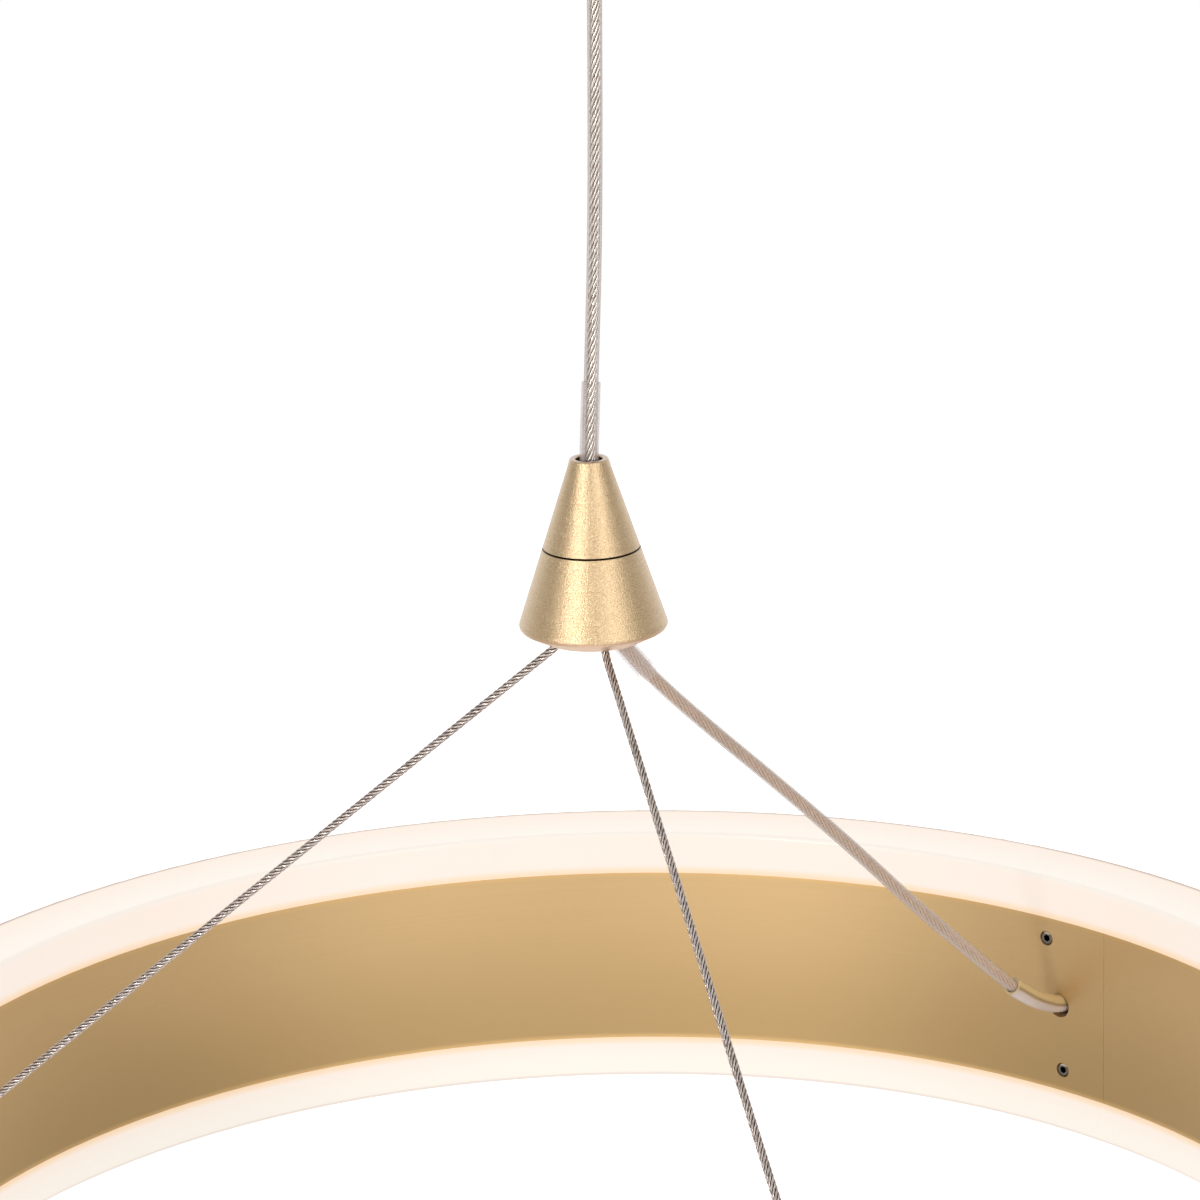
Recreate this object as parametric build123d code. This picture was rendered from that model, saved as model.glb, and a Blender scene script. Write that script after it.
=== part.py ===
from build123d import *
from math import cos, pi, radians, sin, tan
import os

# Ring pendant light.  A gold ring with a pale diffuser on its upper and lower edge hangs from a small
# cone, on two bare steel wires and a feed cable.  The cone hangs on one cable from a ceiling canopy.
#
# Millimetres.  The origin is on the ceiling, at the middle of the bracket's back face.  +Z is up, +X is
# to the viewer's right and +Y points away from the viewer.  Drops are measured down from the ceiling.

# --- Ring -----------------------------------------------------------------------------------------
RING_OUTER_RADIUS = 200
RING_WIDTH = 20
RING_DROP = 353
BAND_HEIGHT = 48
BAND_WALL = 2
LIP_HEIGHT = 11.5
DIFFUSER_WALL = 2
DIFFUSER_EDGE_RADIUS = 1.2
DIFFUSER_SHELF = 1.5
CLIP_WALL = 1.2
CLIP_DEPTH = 3.5
TRAY_WALL = 1.5
TRAY_LEG_HEIGHT = 7.5
TRAY_RIM_GAP = 2
STRIP_WIDTH = 10
STRIP_THICKNESS = 0.3
CHIP_COUNT = 72
CHIP_LENGTH = 3.5
CHIP_WIDTH = 2.8
CHIP_HEIGHT = 0.7
JOINT_AZIMUTH = 43.2
JOINT_GAP = 0.06
JOINT_PLATE_LENGTH = 14
JOINT_PLATE_THICKNESS = 1.5
JOINT_PLATE_GAP = 1

# --- Where the ring is held -----------------------------------------------------------------------
CABLE_AZIMUTH = 48
LEFT_WIRE_AZIMUTH = 168
FRONT_WIRE_AZIMUTH = -72
EXIT_HOLE_DIAMETER = 6.5
SCREW_DIAMETER = 3.8
SCREW_LENGTH = 4.6
SCREW_RECESS = 0.2
SCREW_ABOVE_WEB = 3.6
UPPER_SCREW_SHIFT = 1.3
LOWER_SCREW_SHIFT = -0.4
ANCHOR_WIDTH = 12
ANCHOR_DEPTH = 5
ANCHOR_FLARE_DEPTH = 3.4
ANCHOR_FLARE_RADIUS = 2.4

# --- Cone -----------------------------------------------------------------------------------------
HANG_X = -4.2
CONE_DROP = 163
CONE_HEIGHT = 40
CONE_TOP_DIAMETER = 8.8
CONE_BASE_DIAMETER = 35
CONE_RIM_RADIUS = 1.2
CONE_LIP_RADIUS = 0.4
CONE_FLOOR_DROP = 2.8
CONE_FLOOR_DIAMETER = 24
CONE_FLOOR_THICKNESS = 4.8
CONE_SEAM_HEIGHT = 18.9
SEAM_GROOVE = 0.25
MOUTH_DIAMETER = 6.2
MOUTH_DEPTH = 6
SPIGOT_DIAMETER = 15
SPIGOT_HEIGHT = 6
SPIGOT_WALL = 1.4
SPIGOT_GAP = 0.5
CONE_CAVITY_DIAMETER = 25
CONE_CAVITY_STRAIGHT = 4
EXIT_RADIUS = 5.7
EXIT_FLARE_RADIUS = 3
EXIT_FLARE_HEIGHT = 2.3
EXIT_FLARE_OFFSET = 0.5

# --- Ball stop and bush ---------------------------------------------------------------------------
BALL_DIAMETER = 8
BALL_FLAT_HEIGHT = 7.2
BALL_BELOW_BUSH = 1
BUSH_DIAMETER = 10.4
BUSH_HEIGHT = 5
BUSH_THROAT_DIAMETER = 4.8
SEAT_CLEARANCE = 0.15
SPLICE_DIAMETER = 6.4
SPLICE_GAP = 1.2
SPLICE_HEIGHT = 7.2
SPLICE_MOUTH_DIAMETER = 5.2
SPLICE_MOUTH_DEPTH = 3.2

# --- Cords ----------------------------------------------------------------------------------------
CABLE_DIAMETER = 3.4
WIRE_DIAMETER = 2
LEAD_DIAMETER = 1.4
LEAD_SPACING = 2.6
MAIN_SLEEVE_DIAMETER = 4.4
RING_SLEEVE_DIAMETER = 4.8
WIRE_BEND_RADIUS = 10
STOP_DIAMETER = 4.4
STOP_LENGTH = 4.5
BEND_SHARE = 0.45

# --- Ceiling fixture ------------------------------------------------------------------------------
CANOPY_DIAMETER = 120
CANOPY_HEIGHT = 38
CANOPY_WALL = 1.2
CANOPY_EDGE_RADIUS = 3
CEILING_GAP = 0.5
BRACKET_THICKNESS = 1.6
BRACKET_WIDTH = 18
BRACKET_BEND_RADIUS = 1.28
EAR_HEIGHT = 14
EAR_GAP = 1.3
CEILING_HOLE_SPACING = 60
CEILING_HOLE_DIAMETER = 5
SLOT_FROM_HOLE = 8
SLOT_FROM_END = 5.5
WIRE_HOLE_DIAMETER = 12
SIDE_SCREW_DROP = 9
SIDE_SCREW_DIAMETER = 3.8
SIDE_SCREW_LENGTH = 7
KNOB_DIAMETER = 9
KNOB_HEIGHT = 4.5
KNOB_GROOVES = 16
KNOB_GROOVE_DIAMETER = 0.9

# --- Cord grip ------------------------------------------------------------------------------------
STEM_DIAMETER = 10
STEM_RISE = 8
CABLE_HEAD_RISE = 16.8
COLLAR_DIAMETER = 16
COLLAR_HEIGHT = 5
NOSE_DIAMETER = 12.4
NOSE_HEIGHT = 3.5
GRIP_BORE_DIAMETER = 4
COLLET_SOCKET_DIAMETER = 8.2
COLLET_SOCKET_DEPTH = 2
COLLET_HEIGHT = 3.5
COLLET_SLOT = 0.6
COLLET_SLOT_DEPTH = 2.1
COLLET_TIP_DIAMETER = 6
NUT_ACROSS_FLATS = 14
NUT_HEIGHT = 4
GRIP_CAP_HEIGHT = 8.8
GRIP_CAP_FLARE_DIAMETER = 6
GRIP_CAP_EDGE_RADIUS = 2
PIVOT_BELOW_COLLET = 1

# --- Driver and terminals -------------------------------------------------------------------------
DRIVER_END_ROOM = 20
DRIVER_WIDTH = 28
DRIVER_HEIGHT = 22
DRIVER_Y = 25
DRIVER_WALL = 1.5
DRIVER_LID_THICKNESS = 2
DRIVER_CORNER_RADIUS = 2
BOARD_THICKNESS = 1.6
BOARD_RISE = 3
BOARD_END_GAP = 2
BOARD_SIDE_GAP = 1
BOARD_POST_DIAMETER = 3
BOARD_POST_INSET = 3
TRANSFORMER_LENGTH = 18
TRANSFORMER_WIDTH = 15
TRANSFORMER_HEIGHT = 10
CAPACITOR_DIAMETER = 8
CAPACITOR_HEIGHT = 9
CAPACITOR_X = 20
DRIVER_PORT_HEIGHT = 10
TERMINAL_WIDTH = 17
TERMINAL_HEIGHT = 14
TERMINAL_Y = -22.5
TERMINAL_WAYS = 3
TERMINAL_PITCH = 9
TERMINAL_END = 1.5
CLAMP_DIAMETER = 4.2
CLAMP_HEIGHT = 5
CLAMP_DEPTH = 1
PORT_DIAMETER = 3.2
PORT_DEPTH = 5

# --- Clearances -----------------------------------------------------------------------------------
FIT = 0.1
HOLE_CLEARANCE = 0.3

# --- Values that follow ---------------------------------------------------------------------------
RING_INNER_RADIUS = RING_OUTER_RADIUS - RING_WIDTH
CHAMBER_INNER = RING_INNER_RADIUS + BAND_WALL
CHAMBER_OUTER = RING_OUTER_RADIUS - BAND_WALL
TRAY_RIM_HEIGHT = BAND_HEIGHT / 2 - TRAY_RIM_GAP
TRAY_WEB_HEIGHT = TRAY_RIM_HEIGHT - TRAY_LEG_HEIGHT
SCREW_OFFSET = TRAY_WEB_HEIGHT + SCREW_ABOVE_WEB
CHAMBER_HALF_HEIGHT = TRAY_WEB_HEIGHT - TRAY_WALL
RING_MIDDLE = (RING_INNER_RADIUS + RING_OUTER_RADIUS) / 2
CONE_BASE_DROP = CONE_DROP + CONE_HEIGHT
CONE_FLOOR_UNDERSIDE = CONE_BASE_DROP + CONE_FLOOR_DROP
CONE_FLOOR_TOP = CONE_FLOOR_UNDERSIDE - CONE_FLOOR_THICKNESS
SEAM_DROP = CONE_BASE_DROP - CONE_SEAM_HEIGHT
BUSH_TOP = CONE_DROP + MOUTH_DEPTH
POCKET_BOTTOM = SEAM_DROP - SPIGOT_HEIGHT - SPIGOT_GAP
BALL_DROP = BUSH_TOP + BUSH_HEIGHT + BALL_BELOW_BUSH
SPLICE_TOP = BALL_DROP + BALL_FLAT_HEIGHT / 2 + SPLICE_GAP
SPLICE_BOTTOM = SPLICE_TOP + SPLICE_HEIGHT
CANOPY_FLOOR = CANOPY_HEIGHT - CANOPY_WALL
BRACKET_LENGTH = CANOPY_DIAMETER - 2 * (CANOPY_WALL + EAR_GAP)
SLOT_START = CEILING_HOLE_SPACING / 2 + SLOT_FROM_HOLE
SLOT_END = BRACKET_LENGTH / 2 - SLOT_FROM_END
DRIVER_LENGTH = CANOPY_DIAMETER - 2 * DRIVER_END_ROOM
DRIVER_END = DRIVER_LENGTH / 2
UPPER_LEAD_HEIGHT = DRIVER_PORT_HEIGHT + LEAD_SPACING / 2
LOWER_LEAD_HEIGHT = DRIVER_PORT_HEIGHT - LEAD_SPACING / 2
TERMINAL_LENGTH = TERMINAL_WAYS * TERMINAL_PITCH + 2 * TERMINAL_END
COLLAR_BOTTOM = CANOPY_HEIGHT + COLLAR_HEIGHT
NOSE_BOTTOM = COLLAR_BOTTOM + NOSE_HEIGHT
COLLET_TOP = NOSE_BOTTOM - COLLET_SOCKET_DEPTH
COLLET_BOTTOM = COLLET_TOP + COLLET_HEIGHT
PIVOT_DROP = COLLET_BOTTOM + PIVOT_BELOW_COLLET
GRIP_CAP_TOP = COLLAR_BOTTOM + FIT
GRIP_CAP_BOTTOM = GRIP_CAP_TOP + GRIP_CAP_HEIGHT
HANGERS = (CABLE_AZIMUTH, LEFT_WIRE_AZIMUTH, FRONT_WIRE_AZIMUTH)
WIRE_AZIMUTHS = (LEFT_WIRE_AZIMUTH, FRONT_WIRE_AZIMUTH)

# Main cable: from its bend in the cord grip to its cut end in the cone, as (x, z) in the plane y = 0.
MAIN_ROUTE = [
    (0, -PIVOT_DROP), (-0.45, -74), (-1.5, -112), (-2.95, -140), (-4.15, -162), (HANG_X, -181.8),
]
MAIN_SLEEVE_TOP = (-3.24, -145.3)
MAIN_SLEEVE_END = (-4.165, -167.6)

# Feed cable: from the splice in the cone to its end in the ring, as (radius, z) in its vertical plane.
RING_ROUTE = [
    (0, -SPLICE_BOTTOM), (0, -193.8), (2.0, -201.0), (10.7, -211.0), (20.5, -221.2), (40.0, -238.3),
    (70.0, -263.4), (96.0, -286.0), (118.0, -306.1), (141.2, -325.9), (158.5, -340.5), (168.5, -347.4),
    (176.5, -351.4), (182.5, -353.0), (188.5, -353.0),
]
UPPER_SLEEVE_START = (4.2, -203.53)
UPPER_SLEEVE_END = (18.6, -219.22)
UPPER_SLEEVE_BENDS = slice(3, 4)
LOWER_SLEEVE_START = (159.5, -341.19)
LOWER_SLEEVE_END = (185.6, -353.0)
LOWER_SLEEVE_BENDS = slice(11, 14)

# Leads from the feed cable's end to a strip, as (radius, degrees past the cable, height over the middle).
STRIP_LEAD_ROUTE = [
    (188.5, 0, 0.8), (192.4, 0, 0.8), (194.3, 1.6, 2.0), (192.8, 3.7, 4.8), (190, 5.3, 9),
    (190, 5.3, TRAY_WEB_HEIGHT),
]

# Leads in the canopy, as (x, y, height over its floor): terminals to driver, and driver to cable.
INPUT_LEAD_ROUTES = [
    [(-TERMINAL_PITCH, -18.9, TERMINAL_HEIGHT / 2), (-9.3, -10.5, 8.2), (-16, -0.5, 10.4), (-31, 5.5, 11),
     (-DRIVER_END - 5.5, 11.5, 11.3), (-DRIVER_END - 9.5, 18.5, 11.3),
     (-DRIVER_END - 6.5, 24.2, UPPER_LEAD_HEIGHT), (-DRIVER_END, DRIVER_Y, UPPER_LEAD_HEIGHT)],
    [(0, -18.9, TERMINAL_HEIGHT / 2), (-1.2, -11.5, 6.7), (-10, -3.5, 6.6), (-20, 1.5, 7.2),
     (-33, 5.5, 8.2), (-DRIVER_END - 6, 12, 8.7), (-DRIVER_END - 9.5, 18.8, 8.7),
     (-DRIVER_END - 6.3, 24.3, LOWER_LEAD_HEIGHT), (-DRIVER_END, DRIVER_Y, LOWER_LEAD_HEIGHT)],
]
OUTPUT_LEAD_ROUTES = [
    [(-1, 0, CABLE_HEAD_RISE), (-1, 0, 22.2), (4.2, -2, 27.8), (14, -3, 29.2), (30.4, -1, 29.3),
     (DRIVER_END + 5.2, 5, 25.6), (DRIVER_END + 11.4, 13, 18.3), (DRIVER_END + 10.2, 21, 10.8),
     (DRIVER_END + 5.8, 24.7, LOWER_LEAD_HEIGHT), (DRIVER_END, DRIVER_Y, LOWER_LEAD_HEIGHT)],
    [(1, 0, CABLE_HEAD_RISE), (1, 0, 21), (5.8, -2, 25), (14, -3, 26.4), (29.6, -1, 26.4),
     (DRIVER_END + 2.8, 5, 23), (DRIVER_END + 8.6, 13, 17.3), (DRIVER_END + 7.8, 21, 12.8),
     (DRIVER_END + 5.2, 24.5, UPPER_LEAD_HEIGHT), (DRIVER_END, DRIVER_Y, UPPER_LEAD_HEIGHT)],
]


def turned(*outline):
    """A closed outline of (radius, z) points, turned once about the Z axis."""
    return revolve(Plane.XZ * make_face(Polyline(*outline, close=True)), Axis.Z)


def tube_between(radius_in, radius_out, bottom, top):
    """A plain ring or sleeve about the Z axis."""
    return turned((radius_in, bottom), (radius_out, bottom), (radius_out, top), (radius_in, top))


def hung(shape):
    """Moves a piece built about the Z axis to the axis on which the light hangs."""
    return Pos(HANG_X, 0, 0) * shape


def facing(azimuth, radius, height):
    """A place on the ring whose local Z points outward, away from the hanging axis."""
    return Rot(0, 0, azimuth) * Pos(radius, 0, height) * Rot(0, 90, 0)


def hanging_point(radius, azimuth, z):
    """The point at a radius and azimuth about the hanging axis."""
    return (HANG_X + radius * cos(radians(azimuth)), radius * sin(radians(azimuth)), z)


def bend_radii(points):
    """The largest arc that the two runs at each corner allow."""
    radii = []
    for before, corner, after in zip(points, points[1:], points[2:]):
        arriving = Vector(corner) - Vector(before)
        leaving = Vector(after) - Vector(corner)
        half_turn = radians(arriving.get_angle(leaving) / 2)
        radii.append(BEND_SHARE * min(arriving.length, leaving.length) / tan(half_turn))
    return radii


def cord(name, points, diameter, bore=0, radii=None):
    """A round cord or sleeve along straight runs joined by tangent arcs."""
    radii = radii or bend_radii(points)
    path = FilletPolyline(*points, radius=radii)
    section = Circle(diameter / 2)
    if bore:
        section -= Circle(bore / 2)
    solid = sweep(Plane(origin=path @ 0, z_dir=path % 0) * section, path=path)
    expected = section.area * path.length
    print(f"{name}: length {path.length:.1f}, radii {[round(r, 1) for r in radii]}, "
          f"volume {solid.volume:.1f} against {expected:.1f}")
    return solid


def save(name, shape):
    shape.label = name
    export_step(shape, f"parts/{name}.step")


# --- Ceiling fixture ------------------------------------------------------------------------------

def ceiling_bracket():
    """A bar with an ear folded down at each end."""
    bar = Pos(0, 0, -BRACKET_THICKNESS / 2) * Box(BRACKET_LENGTH, BRACKET_WIDTH, BRACKET_THICKNESS)
    ear_x = (BRACKET_LENGTH - BRACKET_THICKNESS) / 2
    for side in (-1, 1):
        bar += Pos(side * ear_x, 0, -EAR_HEIGHT / 2) * Box(BRACKET_THICKNESS, BRACKET_WIDTH, EAR_HEIGHT)
    bar = fillet(bar.edges().filter_by(Axis.Y).group_by(Axis.Z)[-1], BRACKET_BEND_RADIUS)
    through = 2 * BRACKET_THICKNESS
    bar -= Cylinder(WIRE_HOLE_DIAMETER / 2, 2 * through)
    for side in (-1, 1):
        bar -= Pos(side * CEILING_HOLE_SPACING / 2, 0, 0) * Cylinder(CEILING_HOLE_DIAMETER / 2, 2 * through)
        slot = extrude(SlotOverall(SLOT_END - SLOT_START, CEILING_HOLE_DIAMETER), through, both=True)
        bar -= Pos(side * (SLOT_START + SLOT_END) / 2, 0, 0) * slot
        tapped = Cylinder(SIDE_SCREW_DIAMETER / 2 + FIT, through)
        bar -= Pos(side * ear_x, 0, -SIDE_SCREW_DROP) * Rot(0, 90, 0) * tapped
    return bar


def canopy_cup():
    """A spun cup, open to the ceiling, with the cord grip's hole in its floor."""
    radius = CANOPY_DIAMETER / 2
    cup = Pos(0, 0, -(CANOPY_HEIGHT + CEILING_GAP) / 2) * Cylinder(radius, CANOPY_HEIGHT - CEILING_GAP)
    cup = fillet(cup.edges().group_by(Axis.Z)[0], CANOPY_EDGE_RADIUS)
    inner_height = CANOPY_FLOOR - CEILING_GAP
    hollow = Pos(0, 0, -CANOPY_FLOOR + inner_height / 2) * Cylinder(radius - CANOPY_WALL, inner_height)
    hollow = fillet(hollow.edges().group_by(Axis.Z)[0], CANOPY_EDGE_RADIUS - CANOPY_WALL)
    cup -= hollow
    cup -= Pos(0, 0, -CANOPY_HEIGHT) * Cylinder(STEM_DIAMETER / 2 + HOLE_CLEARANCE / 2, 4 * CANOPY_WALL)
    across = Cylinder(SIDE_SCREW_DIAMETER / 2 + HOLE_CLEARANCE, CANOPY_DIAMETER + 2)
    return cup - Pos(0, 0, -SIDE_SCREW_DROP) * Rot(0, 90, 0) * across


def canopy_screw(side):
    """A knurled thumb screw through the cup's wall, seen from the side that it is driven from."""
    knob = Circle(KNOB_DIAMETER / 2)
    groove = Circle(KNOB_GROOVE_DIAMETER / 2)
    knob -= PolarLocations(KNOB_DIAMETER / 2, KNOB_GROOVES) * groove
    screw = extrude(knob, KNOB_HEIGHT)
    screw += Pos(0, 0, -SIDE_SCREW_LENGTH / 2) * Cylinder(SIDE_SCREW_DIAMETER / 2, SIDE_SCREW_LENGTH)
    return Pos(side * CANOPY_DIAMETER / 2, 0, -SIDE_SCREW_DROP) * Rot(0, side * 90, 0) * screw


def grip_body():
    """Threaded stem, collar and nose, turned in one piece with the cable's bore."""
    bore = GRIP_BORE_DIAMETER / 2
    socket = COLLET_SOCKET_DIAMETER / 2
    return turned(
        (bore, -CANOPY_FLOOR + STEM_RISE), (STEM_DIAMETER / 2, -CANOPY_FLOOR + STEM_RISE),
        (STEM_DIAMETER / 2, -CANOPY_HEIGHT), (COLLAR_DIAMETER / 2, -CANOPY_HEIGHT),
        (COLLAR_DIAMETER / 2, -COLLAR_BOTTOM), (NOSE_DIAMETER / 2, -COLLAR_BOTTOM),
        (NOSE_DIAMETER / 2, -NOSE_BOTTOM), (socket, -NOSE_BOTTOM),
        (socket, -COLLET_TOP), (bore, -COLLET_TOP),
    )


def grip_nut():
    """Hexagon nut on the stem, against the canopy's floor."""
    hexagon = RegularPolygon(NUT_ACROSS_FLATS / 2, 6, major_radius=False)
    hexagon -= Circle(STEM_DIAMETER / 2 + FIT)
    return Pos(0, 0, -CANOPY_FLOOR) * extrude(hexagon, NUT_HEIGHT)


def grip_collet():
    """Slotted bush that the cap squeezes onto the cable."""
    bore = CABLE_DIAMETER / 2 + FIT
    outer = COLLET_SOCKET_DIAMETER / 2 - FIT
    collet = turned(
        (bore, -COLLET_TOP), (outer, -COLLET_TOP), (outer, -NOSE_BOTTOM),
        (COLLET_TIP_DIAMETER / 2, -COLLET_BOTTOM), (bore, -COLLET_BOTTOM),
    )
    for angle in (0, 90):
        slot = Box(COLLET_SOCKET_DIAMETER, COLLET_SLOT, COLLET_SLOT_DEPTH)
        collet -= Pos(0, 0, -COLLET_BOTTOM + COLLET_SLOT_DEPTH / 2) * Rot(0, 0, angle) * slot
    return collet


def grip_cap():
    """Cap screwed over the nose, with a flared mouth that lets the cable swing."""
    thread = NOSE_DIAMETER / 2 + FIT
    throat = GRIP_BORE_DIAMETER / 2 + FIT / 2
    taper_top = -(NOSE_BOTTOM + HOLE_CLEARANCE)
    taper_bottom = -(COLLET_BOTTOM + HOLE_CLEARANCE)
    cap = turned(
        (thread, -GRIP_CAP_TOP), (COLLAR_DIAMETER / 2, -GRIP_CAP_TOP),
        (COLLAR_DIAMETER / 2, -GRIP_CAP_BOTTOM), (GRIP_CAP_FLARE_DIAMETER / 2, -GRIP_CAP_BOTTOM),
        (throat, -PIVOT_DROP), (throat, taper_bottom),
        (COLLET_TIP_DIAMETER / 2 + HOLE_CLEARANCE, taper_bottom),
        (COLLET_SOCKET_DIAMETER / 2 + HOLE_CLEARANCE, taper_top), (thread, taper_top),
    )
    rim = cap.edges().filter_by(GeomType.CIRCLE).group_by(Axis.Z)[0].sort_by(SortBy.RADIUS)[-1]
    return fillet(rim, GRIP_CAP_EDGE_RADIUS)


def driver_shell(bottom, height):
    """A plain block with rounded upright edges, at the driver's place on the canopy's floor."""
    outline = RectangleRounded(DRIVER_LENGTH, DRIVER_WIDTH, DRIVER_CORNER_RADIUS)
    return Pos(0, DRIVER_Y, bottom) * extrude(outline, height)


def driver_base():
    """Open tub with a cable port in each end."""
    base_height = DRIVER_HEIGHT - DRIVER_LID_THICKNESS
    tub = driver_shell(-CANOPY_FLOOR, base_height)
    hollow = Rectangle(DRIVER_LENGTH - 2 * DRIVER_WALL, DRIVER_WIDTH - 2 * DRIVER_WALL)
    tub -= Pos(0, DRIVER_Y, -CANOPY_FLOOR + DRIVER_WALL) * extrude(hollow, base_height)
    port = Rot(0, 90, 0) * extrude(SlotCenterToCenter(LEAD_SPACING, PORT_DIAMETER), DRIVER_LENGTH, both=True)
    return tub - Pos(0, DRIVER_Y, -CANOPY_FLOOR + DRIVER_PORT_HEIGHT) * port


def driver_lid():
    """Lid with a locating rib that drops into the tub."""
    lid = driver_shell(-CANOPY_FLOOR + DRIVER_HEIGHT - DRIVER_LID_THICKNESS, DRIVER_LID_THICKNESS)
    inset = 2 * (DRIVER_WALL + FIT)
    rib = Rectangle(DRIVER_LENGTH - inset, DRIVER_WIDTH - inset)
    rib -= Rectangle(DRIVER_LENGTH - inset - 2 * DRIVER_WALL, DRIVER_WIDTH - inset - 2 * DRIVER_WALL)
    rib_top = -CANOPY_FLOOR + DRIVER_HEIGHT - DRIVER_LID_THICKNESS
    return lid + Pos(0, DRIVER_Y, rib_top) * extrude(rib, -DRIVER_WALL)


def driver_board():
    """Circuit board on four posts, with its transformer and two capacitors."""
    length = DRIVER_LENGTH - 2 * (DRIVER_WALL + BOARD_END_GAP)
    width = DRIVER_WIDTH - 2 * (DRIVER_WALL + BOARD_SIDE_GAP)
    board = Pos(0, 0, BOARD_RISE + BOARD_THICKNESS / 2) * Box(length, width, BOARD_THICKNESS)
    posts = GridLocations(length - 2 * BOARD_POST_INSET, width - 2 * BOARD_POST_INSET, 2, 2)
    for location in posts:
        board += location * Pos(0, 0, BOARD_RISE / 2) * Cylinder(BOARD_POST_DIAMETER / 2, BOARD_RISE)
    deck = BOARD_RISE + BOARD_THICKNESS
    transformer = Box(TRANSFORMER_LENGTH, TRANSFORMER_WIDTH, TRANSFORMER_HEIGHT)
    board += Pos(0, 0, deck + TRANSFORMER_HEIGHT / 2) * transformer
    for side in (-1, 1):
        capacitor = Cylinder(CAPACITOR_DIAMETER / 2, CAPACITOR_HEIGHT)
        board += Pos(side * CAPACITOR_X, 0, deck + CAPACITOR_HEIGHT / 2) * capacitor
    return Pos(0, DRIVER_Y, -CANOPY_FLOOR + DRIVER_WALL) * board


def terminal_block():
    """Row of terminals: a wire port and a screw well for each."""
    top = -CANOPY_FLOOR + TERMINAL_HEIGHT
    block = Box(TERMINAL_LENGTH, TERMINAL_WIDTH, TERMINAL_HEIGHT)
    block = Pos(0, TERMINAL_Y, top - TERMINAL_HEIGHT / 2) * block
    port_drop = TERMINAL_HEIGHT / 2
    for x in terminal_places():
        well = Cylinder(CLAMP_DIAMETER / 2 + FIT, 2 * (CLAMP_HEIGHT + CLAMP_DEPTH))
        block -= Pos(x, TERMINAL_Y, top) * well
        port = Rot(90, 0, 0) * Cylinder(PORT_DIAMETER / 2, PORT_DEPTH)
        for side in (-1, 1):
            block -= Pos(x, TERMINAL_Y + side * (TERMINAL_WIDTH - PORT_DEPTH) / 2, top - port_drop) * port
    return block


def terminal_places():
    return [(index - (TERMINAL_WAYS - 1) / 2) * TERMINAL_PITCH for index in range(TERMINAL_WAYS)]


def terminal_clamp(x):
    """Clamp screw, sunk in its well."""
    top = -CANOPY_FLOOR + TERMINAL_HEIGHT - CLAMP_DEPTH
    return Pos(x, TERMINAL_Y, top - CLAMP_HEIGHT / 2) * Cylinder(CLAMP_DIAMETER / 2, CLAMP_HEIGHT)


def leads(name, routes):
    """Thin leads whose points are given over the canopy's floor."""
    paths = [[(x, y, height - CANOPY_FLOOR) for x, y, height in route] for route in routes]
    return Compound(children=[cord(name, path, LEAD_DIAMETER) for path in paths])


# --- Cable, ball stop and bush --------------------------------------------------------------------

def main_points(route):
    return [(x, 0, z) for x, z in route]


def cable_head():
    """The cable's clamped end: through the grip and up into the canopy."""
    bottom = -(PIVOT_DROP - CABLE_DIAMETER / 2 - HOLE_CLEARANCE)
    top = -CANOPY_FLOOR + CABLE_HEAD_RISE
    return Pos(0, 0, (top + bottom) / 2) * Cylinder(CABLE_DIAMETER / 2, top - bottom)


def main_cable():
    """Free stretch of the cable, round where it bends in the grip, down through the ball stop."""
    cable = cord("main_cable", main_points(MAIN_ROUTE), CABLE_DIAMETER)
    return cable + Pos(0, 0, -PIVOT_DROP) * Sphere(CABLE_DIAMETER / 2)


def main_cable_sleeve():
    points = main_points([MAIN_SLEEVE_TOP, MAIN_ROUTE[4], MAIN_SLEEVE_END])
    return cord("main_cable_sleeve", points, MAIN_SLEEVE_DIAMETER, CABLE_DIAMETER + 2 * FIT)


def cable_ball_stop():
    """Ball with a flat at each end, crimped on the cable under the bush."""
    ball = Sphere(BALL_DIAMETER / 2) & Box(BALL_DIAMETER, BALL_DIAMETER, BALL_FLAT_HEIGHT)
    ball -= Cylinder(CABLE_DIAMETER / 2 + FIT / 2, BALL_DIAMETER)
    return hung(Pos(0, 0, -BALL_DROP) * ball)


def seat_bush():
    """Bush with a hollow seat that rests on the ball and lets the cone lean and turn."""
    bush = tube_between(BUSH_THROAT_DIAMETER / 2, BUSH_DIAMETER / 2, -(BUSH_TOP + BUSH_HEIGHT), -BUSH_TOP)
    bush -= Pos(0, 0, -BALL_DROP) * Sphere(BALL_DIAMETER / 2 + SEAT_CLEARANCE)
    return hung(bush)


# --- Cone -----------------------------------------------------------------------------------------

def cone_radius(drop):
    """The cone's outer radius at a drop below the ceiling."""
    share = (drop - CONE_DROP) / CONE_HEIGHT
    return (CONE_TOP_DIAMETER + share * (CONE_BASE_DIAMETER - CONE_TOP_DIAMETER)) / 2


def cone_top():
    """Upper half: the cable's mouth, the bush's pocket and the thread for the lower half."""
    mouth = MOUTH_DIAMETER / 2
    pocket = BUSH_DIAMETER / 2 + FIT
    thread = SPIGOT_DIAMETER / 2 + FIT
    seam_radius = cone_radius(SEAM_DROP)
    half = turned(
        (mouth, -CONE_DROP), (CONE_TOP_DIAMETER / 2, -CONE_DROP),
        (cone_radius(SEAM_DROP - SEAM_GROOVE), -(SEAM_DROP - SEAM_GROOVE)),
        (seam_radius - SEAM_GROOVE, -SEAM_DROP), (thread, -SEAM_DROP),
        (thread, -POCKET_BOTTOM), (pocket, -POCKET_BOTTOM), (pocket, -BUSH_TOP), (mouth, -BUSH_TOP),
    )
    return hung(fillet(half.edges().group_by(Axis.Z)[-1], CONE_LIP_RADIUS))


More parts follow.
